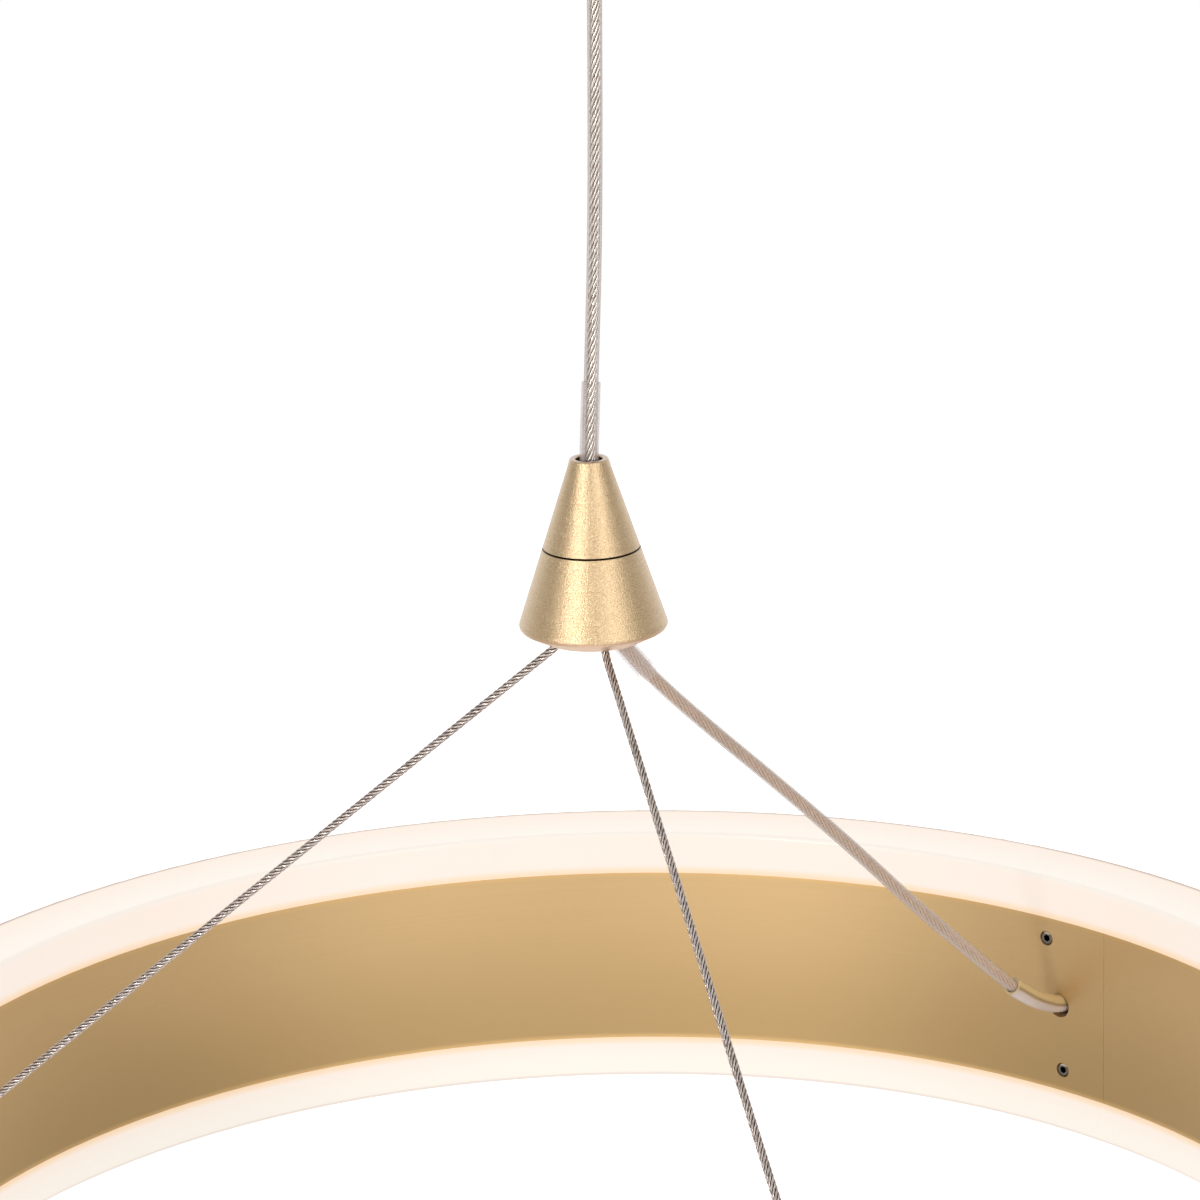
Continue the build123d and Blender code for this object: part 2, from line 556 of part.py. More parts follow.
def cone_base():
    """Lower half: threaded spigot, rounded rim, chamfered underside and the three exits."""
    spigot = SPIGOT_DIAMETER / 2
    spigot_inner = spigot - SPIGOT_WALL
    cavity = CONE_CAVITY_DIAMETER / 2
    seam_radius = cone_radius(SEAM_DROP)
    half = turned(
        (0, -CONE_FLOOR_UNDERSIDE), (CONE_FLOOR_DIAMETER / 2, -CONE_FLOOR_UNDERSIDE),
        (CONE_BASE_DIAMETER / 2, -CONE_BASE_DROP),
        (cone_radius(SEAM_DROP + SEAM_GROOVE), -(SEAM_DROP + SEAM_GROOVE)),
        (seam_radius - SEAM_GROOVE, -SEAM_DROP), (spigot, -SEAM_DROP),
        (spigot, -SEAM_DROP + SPIGOT_HEIGHT), (spigot_inner, -SEAM_DROP + SPIGOT_HEIGHT),
        (spigot_inner, -SEAM_DROP), (cavity, -CONE_FLOOR_TOP + CONE_CAVITY_STRAIGHT),
        (cavity, -CONE_FLOOR_TOP), (0, -CONE_FLOOR_TOP),
    )
    rim = half.edges().filter_by(GeomType.CIRCLE).sort_by(SortBy.RADIUS)[-1]
    half = fillet(rim, CONE_RIM_RADIUS)
    for azimuth in WIRE_AZIMUTHS:
        drill = Cylinder(WIRE_DIAMETER / 2 + HOLE_CLEARANCE, 2 * CONE_FLOOR_THICKNESS)
        flare = Cone(EXIT_FLARE_RADIUS, WIRE_DIAMETER / 2 + HOLE_CLEARANCE, EXIT_FLARE_HEIGHT)
        flare = Pos(EXIT_FLARE_OFFSET, 0, EXIT_FLARE_HEIGHT / 2) * flare
        half -= Rot(0, 0, azimuth) * Pos(EXIT_RADIUS, 0, -CONE_FLOOR_UNDERSIDE) * (drill + flare)
    half = hung(half)
    entry = Vector(*hanging_point(RING_ROUTE[2][0], CABLE_AZIMUTH, RING_ROUTE[2][1]))
    leave = Vector(*hanging_point(RING_ROUTE[3][0], CABLE_AZIMUTH, RING_ROUTE[3][1]))
    slant = Plane(origin=(entry + leave) / 2, z_dir=leave - entry)
    return half - slant * Cylinder(RING_SLEEVE_DIAMETER / 2 + HOLE_CLEARANCE, 4 * CONE_FLOOR_THICKNESS)


def splice_sleeve():
    """Crimp sleeve that joins the main cable to the feed cable, with slack room at its mouth."""
    sleeve = tube_between(0, SPLICE_DIAMETER / 2, -SPLICE_BOTTOM, -SPLICE_TOP)
    mouth = tube_between(0, SPLICE_MOUTH_DIAMETER / 2, -(SPLICE_TOP + SPLICE_MOUTH_DEPTH), -SPLICE_TOP + 1)
    return hung(sleeve - mouth)


# --- Wires and feed cable -------------------------------------------------------------------------

def ring_points(route):
    return [hanging_point(radius, CABLE_AZIMUTH, z) for radius, z in route]


def wire(name, azimuth):
    """Steel wire, straight from the cone's floor to the ring, bent level at its anchor."""
    top = CONE_FLOOR_TOP - STOP_LENGTH
    end = CHAMBER_INNER + FIT + ANCHOR_DEPTH + STOP_LENGTH
    points = [
        hanging_point(EXIT_RADIUS, azimuth, -top),
        hanging_point(EXIT_RADIUS, azimuth, -CONE_FLOOR_UNDERSIDE),
        hanging_point(RING_INNER_RADIUS + 1, azimuth, -RING_DROP),
        hanging_point(end, azimuth, -RING_DROP),
    ]
    return cord(name, points, WIRE_DIAMETER, radii=[WIRE_BEND_RADIUS, WIRE_BEND_RADIUS])


def stop_ferrule():
    """Ferrule crimped on a wire's end, standing on the plane Z = 0."""
    return tube_between(WIRE_DIAMETER / 2 + FIT / 2, STOP_DIAMETER / 2, 0, STOP_LENGTH)


def cone_wire_stop(azimuth):
    return hung(Rot(0, 0, azimuth) * Pos(EXIT_RADIUS, 0, -CONE_FLOOR_TOP) * stop_ferrule())


def ring_wire_stop(azimuth):
    seat = CHAMBER_INNER + FIT + ANCHOR_DEPTH
    return hung(facing(azimuth, seat, -RING_DROP) * stop_ferrule())


def ring_cable_sleeve(name, start, end, bends):
    """Clear sleeve on the feed cable, with the cable's own bends."""
    radii = bend_radii(ring_points(RING_ROUTE))[bends.start - 1:bends.stop - 1]
    points = ring_points([start, *RING_ROUTE[bends], end])
    return cord(name, points, RING_SLEEVE_DIAMETER, CABLE_DIAMETER + 2 * FIT, radii)


# --- Ring -----------------------------------------------------------------------------------------

def at_ring(shape):
    """Moves a piece built about the ring's middle to the hanging ring."""
    return Pos(HANG_X, 0, -RING_DROP) * shape


def joint_cut():
    """The narrow gap where the bent profiles meet."""
    gap = Box(2 * RING_WIDTH, JOINT_GAP, 4 * BAND_HEIGHT)
    return Rot(0, 0, JOINT_AZIMUTH) * Pos(RING_MIDDLE, 0, 0) * gap


def screw_places(side):
    """Azimuth and height of the upper (1) or lower (-1) screw at each hanging point."""
    shift = UPPER_SCREW_SHIFT if side > 0 else LOWER_SCREW_SHIFT
    return [(azimuth + shift, side * SCREW_OFFSET) for azimuth in HANGERS]


def inner_band():
    """Inner gold band with an exit hole and two screw holes at each hanging point."""
    band = tube_between(RING_INNER_RADIUS, CHAMBER_INNER, -BAND_HEIGHT / 2, BAND_HEIGHT / 2)
    for azimuth in HANGERS:
        band -= facing(azimuth, CHAMBER_INNER, 0) * Cylinder(EXIT_HOLE_DIAMETER / 2, 4 * BAND_WALL)
    for azimuth, height in screw_places(1) + screw_places(-1):
        band -= facing(azimuth, CHAMBER_INNER, height) * Cylinder(SCREW_DIAMETER / 2 + FIT, 4 * BAND_WALL)
    return at_ring(band - joint_cut())


def outer_band():
    band = tube_between(CHAMBER_OUTER, RING_OUTER_RADIUS, -BAND_HEIGHT / 2, BAND_HEIGHT / 2)
    return at_ring(band - joint_cut())


def upper_tray_outline():
    """The channel that carries an LED strip, open towards the diffuser."""
    inner = CHAMBER_INNER + FIT
    outer = CHAMBER_OUTER - FIT
    return (
        (inner, CHAMBER_HALF_HEIGHT), (outer, CHAMBER_HALF_HEIGHT), (outer, TRAY_RIM_HEIGHT),
        (outer - TRAY_WALL, TRAY_RIM_HEIGHT), (outer - TRAY_WALL, TRAY_WEB_HEIGHT),
        (inner + TRAY_WALL, TRAY_WEB_HEIGHT), (inner + TRAY_WALL, TRAY_RIM_HEIGHT), (inner, TRAY_RIM_HEIGHT),
    )


def upper_diffuser_outline():
    """The lit cap: two flush lips, a top face and a clip foot inside each leg of the tray."""
    seat = BAND_HEIGHT / 2
    top = seat + LIP_HEIGHT
    shelf = seat + DIFFUSER_SHELF
    foot_bottom = seat - CLIP_DEPTH
    foot_inner = CHAMBER_INNER + TRAY_WALL + 2 * FIT
    foot_outer = CHAMBER_OUTER - TRAY_WALL - 2 * FIT
    wall_inner = RING_INNER_RADIUS + DIFFUSER_WALL
    wall_outer = RING_OUTER_RADIUS - DIFFUSER_WALL
    return (
        (RING_INNER_RADIUS, seat), (RING_INNER_RADIUS, top), (RING_OUTER_RADIUS, top),
        (RING_OUTER_RADIUS, seat), (foot_outer, seat), (foot_outer, foot_bottom),
        (foot_outer - CLIP_WALL, foot_bottom), (foot_outer - CLIP_WALL, shelf),
        (wall_outer, shelf), (wall_outer, top - DIFFUSER_WALL), (wall_inner, top - DIFFUSER_WALL),
        (wall_inner, shelf), (foot_inner + CLIP_WALL, shelf), (foot_inner + CLIP_WALL, foot_bottom),
        (foot_inner, foot_bottom), (foot_inner, seat),
    )


def tray(side):
    """Upper (1) or lower (-1) channel, with its screw holes and the lead's hole."""
    channel = turned(*[(radius, side * z) for radius, z in upper_tray_outline()])
    for azimuth, height in screw_places(side):
        hole = Cylinder(SCREW_DIAMETER / 2 + FIT, 4 * TRAY_WALL)
        channel -= facing(azimuth, CHAMBER_INNER + TRAY_WALL / 2, height) * hole
    lead_azimuth = CABLE_AZIMUTH + STRIP_LEAD_ROUTE[-1][1]
    lead_hole = Cylinder(LEAD_DIAMETER / 2 + HOLE_CLEARANCE, 4 * TRAY_WALL)
    channel -= Rot(0, 0, lead_azimuth) * Pos(RING_MIDDLE, 0, side * TRAY_WEB_HEIGHT) * lead_hole
    return at_ring(channel)


def led_strip(side):
    """Tape with its row of chips."""
    inner = RING_MIDDLE - STRIP_WIDTH / 2
    strip = tube_between(inner, inner + STRIP_WIDTH, TRAY_WEB_HEIGHT, TRAY_WEB_HEIGHT + STRIP_THICKNESS)
    top = TRAY_WEB_HEIGHT + STRIP_THICKNESS
    chip = Pos(0, 0, top + CHIP_HEIGHT / 2) * Box(CHIP_WIDTH, CHIP_LENGTH, CHIP_HEIGHT)
    strip += PolarLocations(RING_MIDDLE, CHIP_COUNT) * chip
    strip -= joint_cut()
    return at_ring(strip if side > 0 else mirror(strip, Plane.XY))


def diffuser(side):
    """Upper (1) or lower (-1) lit cap."""
    cap = turned(*upper_diffuser_outline())
    cap = fillet(cap.edges().group_by(Axis.Z)[-1], DIFFUSER_EDGE_RADIUS)
    cap -= joint_cut()
    return at_ring(cap if side > 0 else mirror(cap, Plane.XY))


def anchor_block(azimuth, bore, flare):
    """Block between the trays and behind the inner band, bored for a wire or cable."""
    front = CHAMBER_INNER + FIT
    middle = Pos(front + ANCHOR_DEPTH / 2, 0, 0)
    block = middle * Box(ANCHOR_DEPTH, ANCHOR_WIDTH, 2 * (CHAMBER_HALF_HEIGHT - FIT))
    block &= tube_between(front, CHAMBER_OUTER, -BAND_HEIGHT, BAND_HEIGHT)
    block -= middle * Rot(0, 90, 0) * Cylinder(bore, 2 * ANCHOR_DEPTH)
    mouth = Cone(flare, bore, ANCHOR_FLARE_DEPTH)
    block -= Pos(front + ANCHOR_FLARE_DEPTH / 2, 0, 0) * Rot(0, 90, 0) * mouth
    return at_ring(Rot(0, 0, azimuth) * block)


def wire_anchor(azimuth):
    bore = WIRE_DIAMETER / 2 + FIT
    return anchor_block(azimuth, bore, ANCHOR_FLARE_RADIUS)


def cable_anchor():
    bore = RING_SLEEVE_DIAMETER / 2 + HOLE_CLEARANCE
    return anchor_block(CABLE_AZIMUTH, bore, bore + FIT)


def ring_screw(azimuth, height):
    """Set screw through the inner band into the tray, sunk a little below the band's face."""
    middle = RING_INNER_RADIUS + SCREW_RECESS + SCREW_LENGTH / 2
    return at_ring(facing(azimuth, middle, height) * Cylinder(SCREW_DIAMETER / 2, SCREW_LENGTH))


def joint_plate(radius_in):
    """Curved plate that bridges the bands' joint from inside the chamber."""
    half_height = CHAMBER_HALF_HEIGHT - JOINT_PLATE_GAP
    plate = tube_between(radius_in, radius_in + JOINT_PLATE_THICKNESS, -half_height, half_height)
    length = Box(2 * RING_WIDTH, JOINT_PLATE_LENGTH, 2 * BAND_HEIGHT)
    return at_ring(plate & Rot(0, 0, JOINT_AZIMUTH) * Pos(RING_MIDDLE, 0, 0) * length)


def strip_lead(name, side):
    points = [
        hanging_point(radius, CABLE_AZIMUTH + past, -RING_DROP + side * height)
        for radius, past, height in STRIP_LEAD_ROUTE
    ]
    return cord(name, points, LEAD_DIAMETER)


# --- Write every piece ----------------------------------------------------------------------------

os.makedirs("parts", exist_ok=True)
save("ceiling_bracket", ceiling_bracket())
save("canopy_cup", canopy_cup())
save("canopy_screws", Compound(children=[canopy_screw(side) for side in (-1, 1)]))
save("grip_body", grip_body())
save("grip_nut", grip_nut())
save("grip_collet", grip_collet())
save("grip_cap", grip_cap())
save("driver_base", driver_base())
save("driver_lid", driver_lid())
save("driver_board", driver_board())
save("terminal_block", terminal_block())
save("terminal_clamps", Compound(children=[terminal_clamp(x) for x in terminal_places()]))
save("driver_input_leads", leads("driver_input_leads", INPUT_LEAD_ROUTES))
save("driver_output_leads", leads("driver_output_leads", OUTPUT_LEAD_ROUTES))
save("cable_head", cable_head())

save("main_cable", main_cable())
save("main_cable_sleeve", main_cable_sleeve())
save("cable_ball_stop", cable_ball_stop())
save("seat_bush", seat_bush())

save("cone_top", cone_top())
save("cone_base", cone_base())
save("splice_sleeve", splice_sleeve())
save("cone_wire_stops", Compound(children=[cone_wire_stop(azimuth) for azimuth in WIRE_AZIMUTHS]))
save("ring_wire_stops", Compound(children=[ring_wire_stop(azimuth) for azimuth in WIRE_AZIMUTHS]))
save("left_wire", wire("left_wire", LEFT_WIRE_AZIMUTH))
save("front_wire", wire("front_wire", FRONT_WIRE_AZIMUTH))
save("ring_cable", cord("ring_cable", ring_points(RING_ROUTE), CABLE_DIAMETER))
for place, start, end, bends in (
    ("upper", UPPER_SLEEVE_START, UPPER_SLEEVE_END, UPPER_SLEEVE_BENDS),
    ("lower", LOWER_SLEEVE_START, LOWER_SLEEVE_END, LOWER_SLEEVE_BENDS),
):
    name = f"ring_cable_{place}_sleeve"
    save(name, ring_cable_sleeve(name, start, end, bends))

save("inner_band", inner_band())
save("outer_band", outer_band())
for place, side in (("upper", 1), ("lower", -1)):
    save(f"{place}_tray", tray(side))
    save(f"{place}_led_strip", led_strip(side))
    save(f"{place}_diffuser", diffuser(side))
    save(f"{place}_strip_lead", strip_lead(f"{place}_strip_lead", side))
save("wire_anchors", Compound(children=[wire_anchor(azimuth) for azimuth in WIRE_AZIMUTHS]))
save("cable_anchor", cable_anchor())
places = screw_places(1) + screw_places(-1)
save("ring_screws", Compound(children=[ring_screw(*place) for place in places]))
plate_radii = (CHAMBER_INNER + FIT, CHAMBER_OUTER - FIT - JOINT_PLATE_THICKNESS)
save("joint_plates", Compound(children=[joint_plate(radius) for radius in plate_radii]))
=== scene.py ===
from math import cos, pi, radians, sin, tau

import bmesh
import bpy
from mathutils import Matrix, Vector

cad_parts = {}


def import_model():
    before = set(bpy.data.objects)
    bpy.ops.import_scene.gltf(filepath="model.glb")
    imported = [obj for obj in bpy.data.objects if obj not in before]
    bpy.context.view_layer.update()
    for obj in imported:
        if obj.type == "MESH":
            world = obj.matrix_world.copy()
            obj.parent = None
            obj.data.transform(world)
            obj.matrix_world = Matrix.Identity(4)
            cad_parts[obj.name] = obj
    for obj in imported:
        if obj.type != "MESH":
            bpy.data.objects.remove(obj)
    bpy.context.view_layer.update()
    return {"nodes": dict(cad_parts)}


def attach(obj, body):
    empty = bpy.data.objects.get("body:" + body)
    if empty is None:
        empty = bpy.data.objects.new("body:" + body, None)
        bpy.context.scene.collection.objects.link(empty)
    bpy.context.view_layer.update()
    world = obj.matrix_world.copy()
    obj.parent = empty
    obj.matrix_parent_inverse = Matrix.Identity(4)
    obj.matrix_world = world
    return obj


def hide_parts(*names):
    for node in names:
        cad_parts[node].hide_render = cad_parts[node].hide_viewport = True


# Ring pendant light: a gold ring with pale lit caps, hung from a small gold cone on two bare steel wires
# and a feed cable.  The construction comes from the frame.  This script adds the finishes, the laid
# steel wires, the jacketed cables, the set screws' chamfers and sockets, and a studio to look at them in.

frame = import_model()

# A millimetre in the scene's metres.
MM = 0.001


def mm(*values):
    """A point or a way given in millimetres."""
    return Vector(values) * MM


# --- Places that the construction gives, in millimetres and degrees -------------------------------

# The light hangs about an upright axis in the plane y = 0.
HANG_X = -4.2

# The ring: its inner and outer faces, and half of the bands' height.
RING_MIDDLE_Z = -353.0
RING_INNER = 180.0
RING_OUTER = 200.0
BAND_HALF = 24.0

# Where the three cords reach the ring.
CABLE_AZIMUTH = 48.0
LEFT_WIRE_AZIMUTH = 168.0
FRONT_WIRE_AZIMUTH = -72.0

# The set screws: a place for each cord, and how far the rows lie from the ring's middle and past the cords.
SCREW_OFFSET = 18.1
SCREW_RADIUS = 1.9
SCREW_LENGTH = 4.6
SCREW_RECESS = 0.2
SCREW_PLACES = 3
UPPER_SCREW_SHIFT = 1.3
LOWER_SCREW_SHIFT = -0.4

CONE_TOP_Z = -163.0
CONE_SEAM_Z = -184.1
CONE_RIM_Z = -202.4

CABLE_DIAMETER = 3.4

# The main cable's route, as (x, z) in the plane y = 0, and the feed cable's, as (radius, z) in its plane.
MAIN_ROUTE = [
    (0, -49), (-0.45, -74), (-1.5, -112), (-2.95, -140), (-4.15, -162), (HANG_X, -181.8),
]
FEED_ROUTE = [
    (0, -187), (0, -193.8), (2.0, -201.0), (10.7, -211.0), (20.5, -221.2), (40.0, -238.3),
    (70.0, -263.4), (96.0, -286.0), (118.0, -306.1), (141.2, -325.9), (158.5, -340.5), (168.5, -347.4),
    (176.5, -351.4), (182.5, -353.0), (188.5, -353.0),
]
# A wire's route, with one point on its straight stretch near each bend.
WIRE_ROUTE = [
    (5.7, -196.5), (5.7, -205.8), (14.9, -213.5), (171.8, -345.3), (181, -353), (191.6, -353),
]


def hanging(radius, azimuth, z):
    """The point at a radius and azimuth about the axis on which the light hangs."""
    angle = radians(azimuth)
    return mm(HANG_X + radius * cos(angle), radius * sin(angle), z)


# --- Camera ---------------------------------------------------------------------------------------

LENS = 150
FILM_WIDTH = 36
EYE_PLACE = mm(-2.55, -1104.78, 135.25)
EYE_FORWARD = Vector((0, 0.95763, -0.28801))
EYE_UP = Vector((0.02710, 0.28791, 0.95727))


def camera():
    """The photograph's viewpoint: a long lens, 17 degrees above the ring and a little rolled."""
    data = bpy.data.cameras.new("camera")
    data.lens = LENS
    data.sensor_width = FILM_WIDTH
    eye = bpy.data.objects.new("camera", data)
    right = EYE_FORWARD.cross(EYE_UP).normalized()
    up = right.cross(EYE_FORWARD)
    turn = Matrix((right, up, -EYE_FORWARD)).transposed()
    eye.matrix_world = Matrix.Translation(EYE_PLACE) @ turn.to_4x4()
    bpy.context.collection.objects.link(eye)
    bpy.context.scene.camera = eye


# --- Lines, tubes and twisted strands -------------------------------------------------------------

# How far apart the points of a cord's line are in millimetres, and how its smooth curve is drawn.
LINE_STEP = 0.6
CURVE_STEPS = 40
CURVE_ORDER = 3


def smooth_line(points):
    """Evenly spaced points of the smooth line that a cord takes along its route."""
    curve = bpy.data.curves.new("route", "CURVE")
    curve.dimensions = "3D"
    curve.resolution_u = CURVE_STEPS
    spline = curve.splines.new("NURBS")
    spline.points.add(len(points) - 1)
    for target, point in zip(spline.points, points):
        target.co = (*point, 1)
    spline.order_u = CURVE_ORDER
    spline.use_endpoint_u = True
    line = bpy.data.objects.new("route", curve)
    bpy.context.collection.objects.link(line)
    mesh = bpy.data.meshes.new_from_object(line)
    found = [vertex.co.copy() for vertex in mesh.vertices]
    bpy.data.objects.remove(line)
    bpy.data.meshes.remove(mesh)
    return even(found, LINE_STEP * MM)


def even(points, step):
    """The same line with its points at equal distances, as near to the step as they can be."""
    reached = [0.0]
    for before, after in zip(points, points[1:]):
        reached.append(reached[-1] + (after - before).length)
    count = max(2, round(reached[-1] / step))
    result = []
    index = 0
    for number in range(count + 1):
        target = reached[-1] * number / count
        while index < len(points) - 2 and reached[index + 1] < target:
            index += 1
        span = reached[index + 1] - reached[index]
        share = (target - reached[index]) / span if span else 0
        result.append(points[index].lerp(points[index + 1], share))
    return result


def line_frames(points):
    """A direction and two side directions at each point, carried along without twist."""
    directions = []
    for index in range(len(points)):
        before = points[max(index - 1, 0)]
        after = points[min(index + 1, len(points) - 1)]
        directions.append((after - before).normalized())
    side = directions[0].orthogonal().normalized()
    frames = []
    for direction in directions:
        side = (side - direction * side.dot(direction)).normalized()
        frames.append((direction, side, direction.cross(side)))
    return frames


def helix(points, radius, pitch, phase):
    """A strand's line, which winds round another line once in each pitch."""
    travelled = 0.0
    result = []
    for index, (point, (_, side, other)) in enumerate(zip(points, line_frames(points))):
        if index:
            travelled += (point - points[index - 1]).length
        angle = tau * travelled / pitch + phase
        result.append(point + radius * (cos(angle) * side + sin(angle) * other))
    return result


def outward_frames(points, middle):
    """Frames whose side direction points away from the middle line that a strand is laid round."""
    frames = []
    for (direction, _, _), point, centre in zip(line_frames(points), points, middle):
        side = point - centre
        side = (side - direction * side.dot(direction)).normalized()
        frames.append((direction, side, direction.cross(side)))
    return frames


def add_tube(mesh, points, radius, sides, middle=None):
    """Adds a round tube along a line.  Its UV map runs in metres along it and in turns around it,
    and the turns of a strand start on the side that faces away from the middle line."""
    layer = mesh.loops.layers.uv.verify()
    travelled = 0.0
    rings = []
    along = []
    frames = outward_frames(points, middle) if middle else line_frames(points)
    for index, (point, (_, side, other)) in enumerate(zip(points, frames)):
        if index:
            travelled += (point - points[index - 1]).length
        along.append(travelled)
        ring = []
        for number in range(sides):
            angle = tau * number / sides
            ring.append(mesh.verts.new(point + radius * (cos(angle) * side + sin(angle) * other)))
        rings.append(ring)
    for row in range(len(rings) - 1):
        for number in range(sides):
            after = (number + 1) % sides
            face = mesh.faces.new((rings[row][number], rings[row][after],
                                   rings[row + 1][after], rings[row + 1][number]))
            face.smooth = True
            spots = ((row, number), (row, number + 1), (row + 1, number + 1), (row + 1, number))
            for loop, (place, turn) in zip(face.loops, spots):
                loop[layer].uv = (along[place], turn / sides)
    mesh.faces.new(reversed(rings[0]))
    mesh.faces.new(rings[-1])


def object_of(name, mesh):
    """Makes an object of a mesh and frees the mesh's working copy."""
    data = bpy.data.meshes.new(name)
    mesh.to_mesh(data)
    mesh.free()
    made = bpy.data.objects.new(name, data)
    bpy.context.collection.objects.link(made)
    return made


def piece(name, mesh, material, body):
    """Makes an object of a mesh, gives it its finish and hangs it on a body."""
    made = object_of(name, mesh)
    made.data.materials.append(material)
    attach(made, body)
    return made


# --- Node helpers ---------------------------------------------------------------------------------

def put(tree, kind, inputs=None, **settings):
    """Adds a node, with its settings and with values or links on its inputs."""
    made = tree.nodes.new(kind)
    for name, value in settings.items():
        setattr(made, name, value)
    for key, value in (inputs or {}).items():
        if isinstance(value, bpy.types.NodeSocket):
            tree.links.new(value, made.inputs[key])
        else:
            made.inputs[key].default_value = value
    return made


def reckon(tree, operation, *values):
    """One step of arithmetic on numbers or sockets."""
    return put(tree, "ShaderNodeMath", dict(enumerate(values)), operation=operation).outputs[0]


def blend_colours(tree, share, first, second):
    """Mixes two colours by a share from 0 to 1."""
    made = put(tree, "ShaderNodeMix", {0: share, 6: first, 7: second}, data_type="RGBA")
    return made.outputs[2]


def between(tree, value, low, high, to_low=0.0, to_high=1.0):
    """Turns a range of a value into another range, softly, and holds it there."""
    made = put(tree, "ShaderNodeMapRange", {0: value, 1: low, 2: high, 3: to_low, 4: to_high},
               interpolation_type="SMOOTHSTEP")
    return made.outputs[0]


def fade(tree, distance, start, end):
    """Goes softly from 0 at one place to 1 at another, both in millimetres."""
    return between(tree, distance, start * MM, end * MM)


def vary(tree, start, pattern, span):
    """A value that rises from its start by a span as a pattern goes from 0 to 1."""
    return reckon(tree, "ADD", start, reckon(tree, "MULTIPLY", pattern, span))


def from_axis(tree, x, y):
    """How far a point is from an upright axis, from its two level distances to it."""
    squares = reckon(tree, "ADD", reckon(tree, "MULTIPLY", x, x), reckon(tree, "MULTIPLY", y, y))
    return reckon(tree, "SQRT", squares)


def height_of(tree, place):
    """A point's height in the object's own coordinates."""
    return put(tree, "ShaderNodeSeparateXYZ", {0: place.outputs["Object"]}).outputs[2]


def over_middle(tree, place):
    """How far a point lies above the ring's middle, and below it as a negative number."""
    return reckon(tree, "SUBTRACT", height_of(tree, place), RING_MIDDLE_Z * MM)


def group(name, inputs, outputs):
    """A shader node group with named inputs, which are numbers or vectors, and number outputs."""
    tree = bpy.data.node_groups.new(name, "ShaderNodeTree")
    for label, value in inputs.items():
        kind = "NodeSocketFloat" if isinstance(value, (int, float)) else "NodeSocketVector"
        socket = tree.interface.new_socket(label, in_out="INPUT", socket_type=kind)
        socket.default_value = value
    for label in outputs:
        tree.interface.new_socket(label, in_out="OUTPUT", socket_type="NodeSocketFloat")
    return tree, tree.nodes.new("NodeGroupInput"), tree.nodes.new("NodeGroupOutput")


def use(tree, group_tree, **inputs):
    """Places a group in a material, with its own values.  An underscore stands for a space."""
    made = tree.nodes.new("ShaderNodeGroup")
    made.node_tree = group_tree
    for label, value in inputs.items():
        socket = made.inputs[label.replace("_", " ")]
        if isinstance(value, bpy.types.NodeSocket):
            tree.links.new(value, socket)
        else:
            socket.default_value = value
    return made


# --- Effects that several finishes share ----------------------------------------------------------

def lathe_lines_group():
    """Fine lines that run round an upright axis, as a lathe or a brush on a turning ring leaves them."""
    tree, given, result = group("lathe lines", {
        "Place": (0.0, 0.0, 0.0), "Axis X": 0.0, "Line Spacing": 0.0003, "Streak Length": 0.02,
    }, ["Lines", "Radius"])
    split = put(tree, "ShaderNodeSeparateXYZ", {0: given.outputs["Place"]})
    x = reckon(tree, "SUBTRACT", split.outputs[0], given.outputs["Axis X"])
    y = split.outputs[1]
    radius = from_axis(tree, x, y)
    along_profile = reckon(tree, "SUBTRACT", radius, split.outputs[2])
    spot = put(tree, "ShaderNodeCombineXYZ", {
        0: reckon(tree, "DIVIDE", x, given.outputs["Streak Length"]),
        1: reckon(tree, "DIVIDE", y, given.outputs["Streak Length"]),
        2: reckon(tree, "DIVIDE", along_profile, given.outputs["Line Spacing"]),
    })
    noise = put(tree, "ShaderNodeTexNoise", {
        "Vector": spot.outputs[0], "Scale": 1, "Detail": 3, "Roughness": 0.6,
    })
    tree.links.new(noise.outputs[0], result.inputs["Lines"])
    tree.links.new(radius, result.inputs["Radius"])
    return tree


def grain_group():
    """Fine speckle of a blasted or moulded surface, with a slow change of tone behind it."""
    tree, given, result = group("grain", {
        "Place": (0.0, 0.0, 0.0), "Speck Size": 0.0004, "Patch Size": 0.03,
    }, ["Speck", "Patch"])
    for output, size, detail in (("Speck", "Speck Size", 1), ("Patch", "Patch Size", 3)):
        scale = reckon(tree, "DIVIDE", 1.0, given.outputs[size])
        noise = put(tree, "ShaderNodeTexNoise", {
            "Vector": given.outputs["Place"], "Scale": scale, "Detail": detail, "Roughness": 0.55,
        })
        tree.links.new(noise.outputs[0], result.inputs[output])
    return tree


SHADES_PER_METRE = 600.0


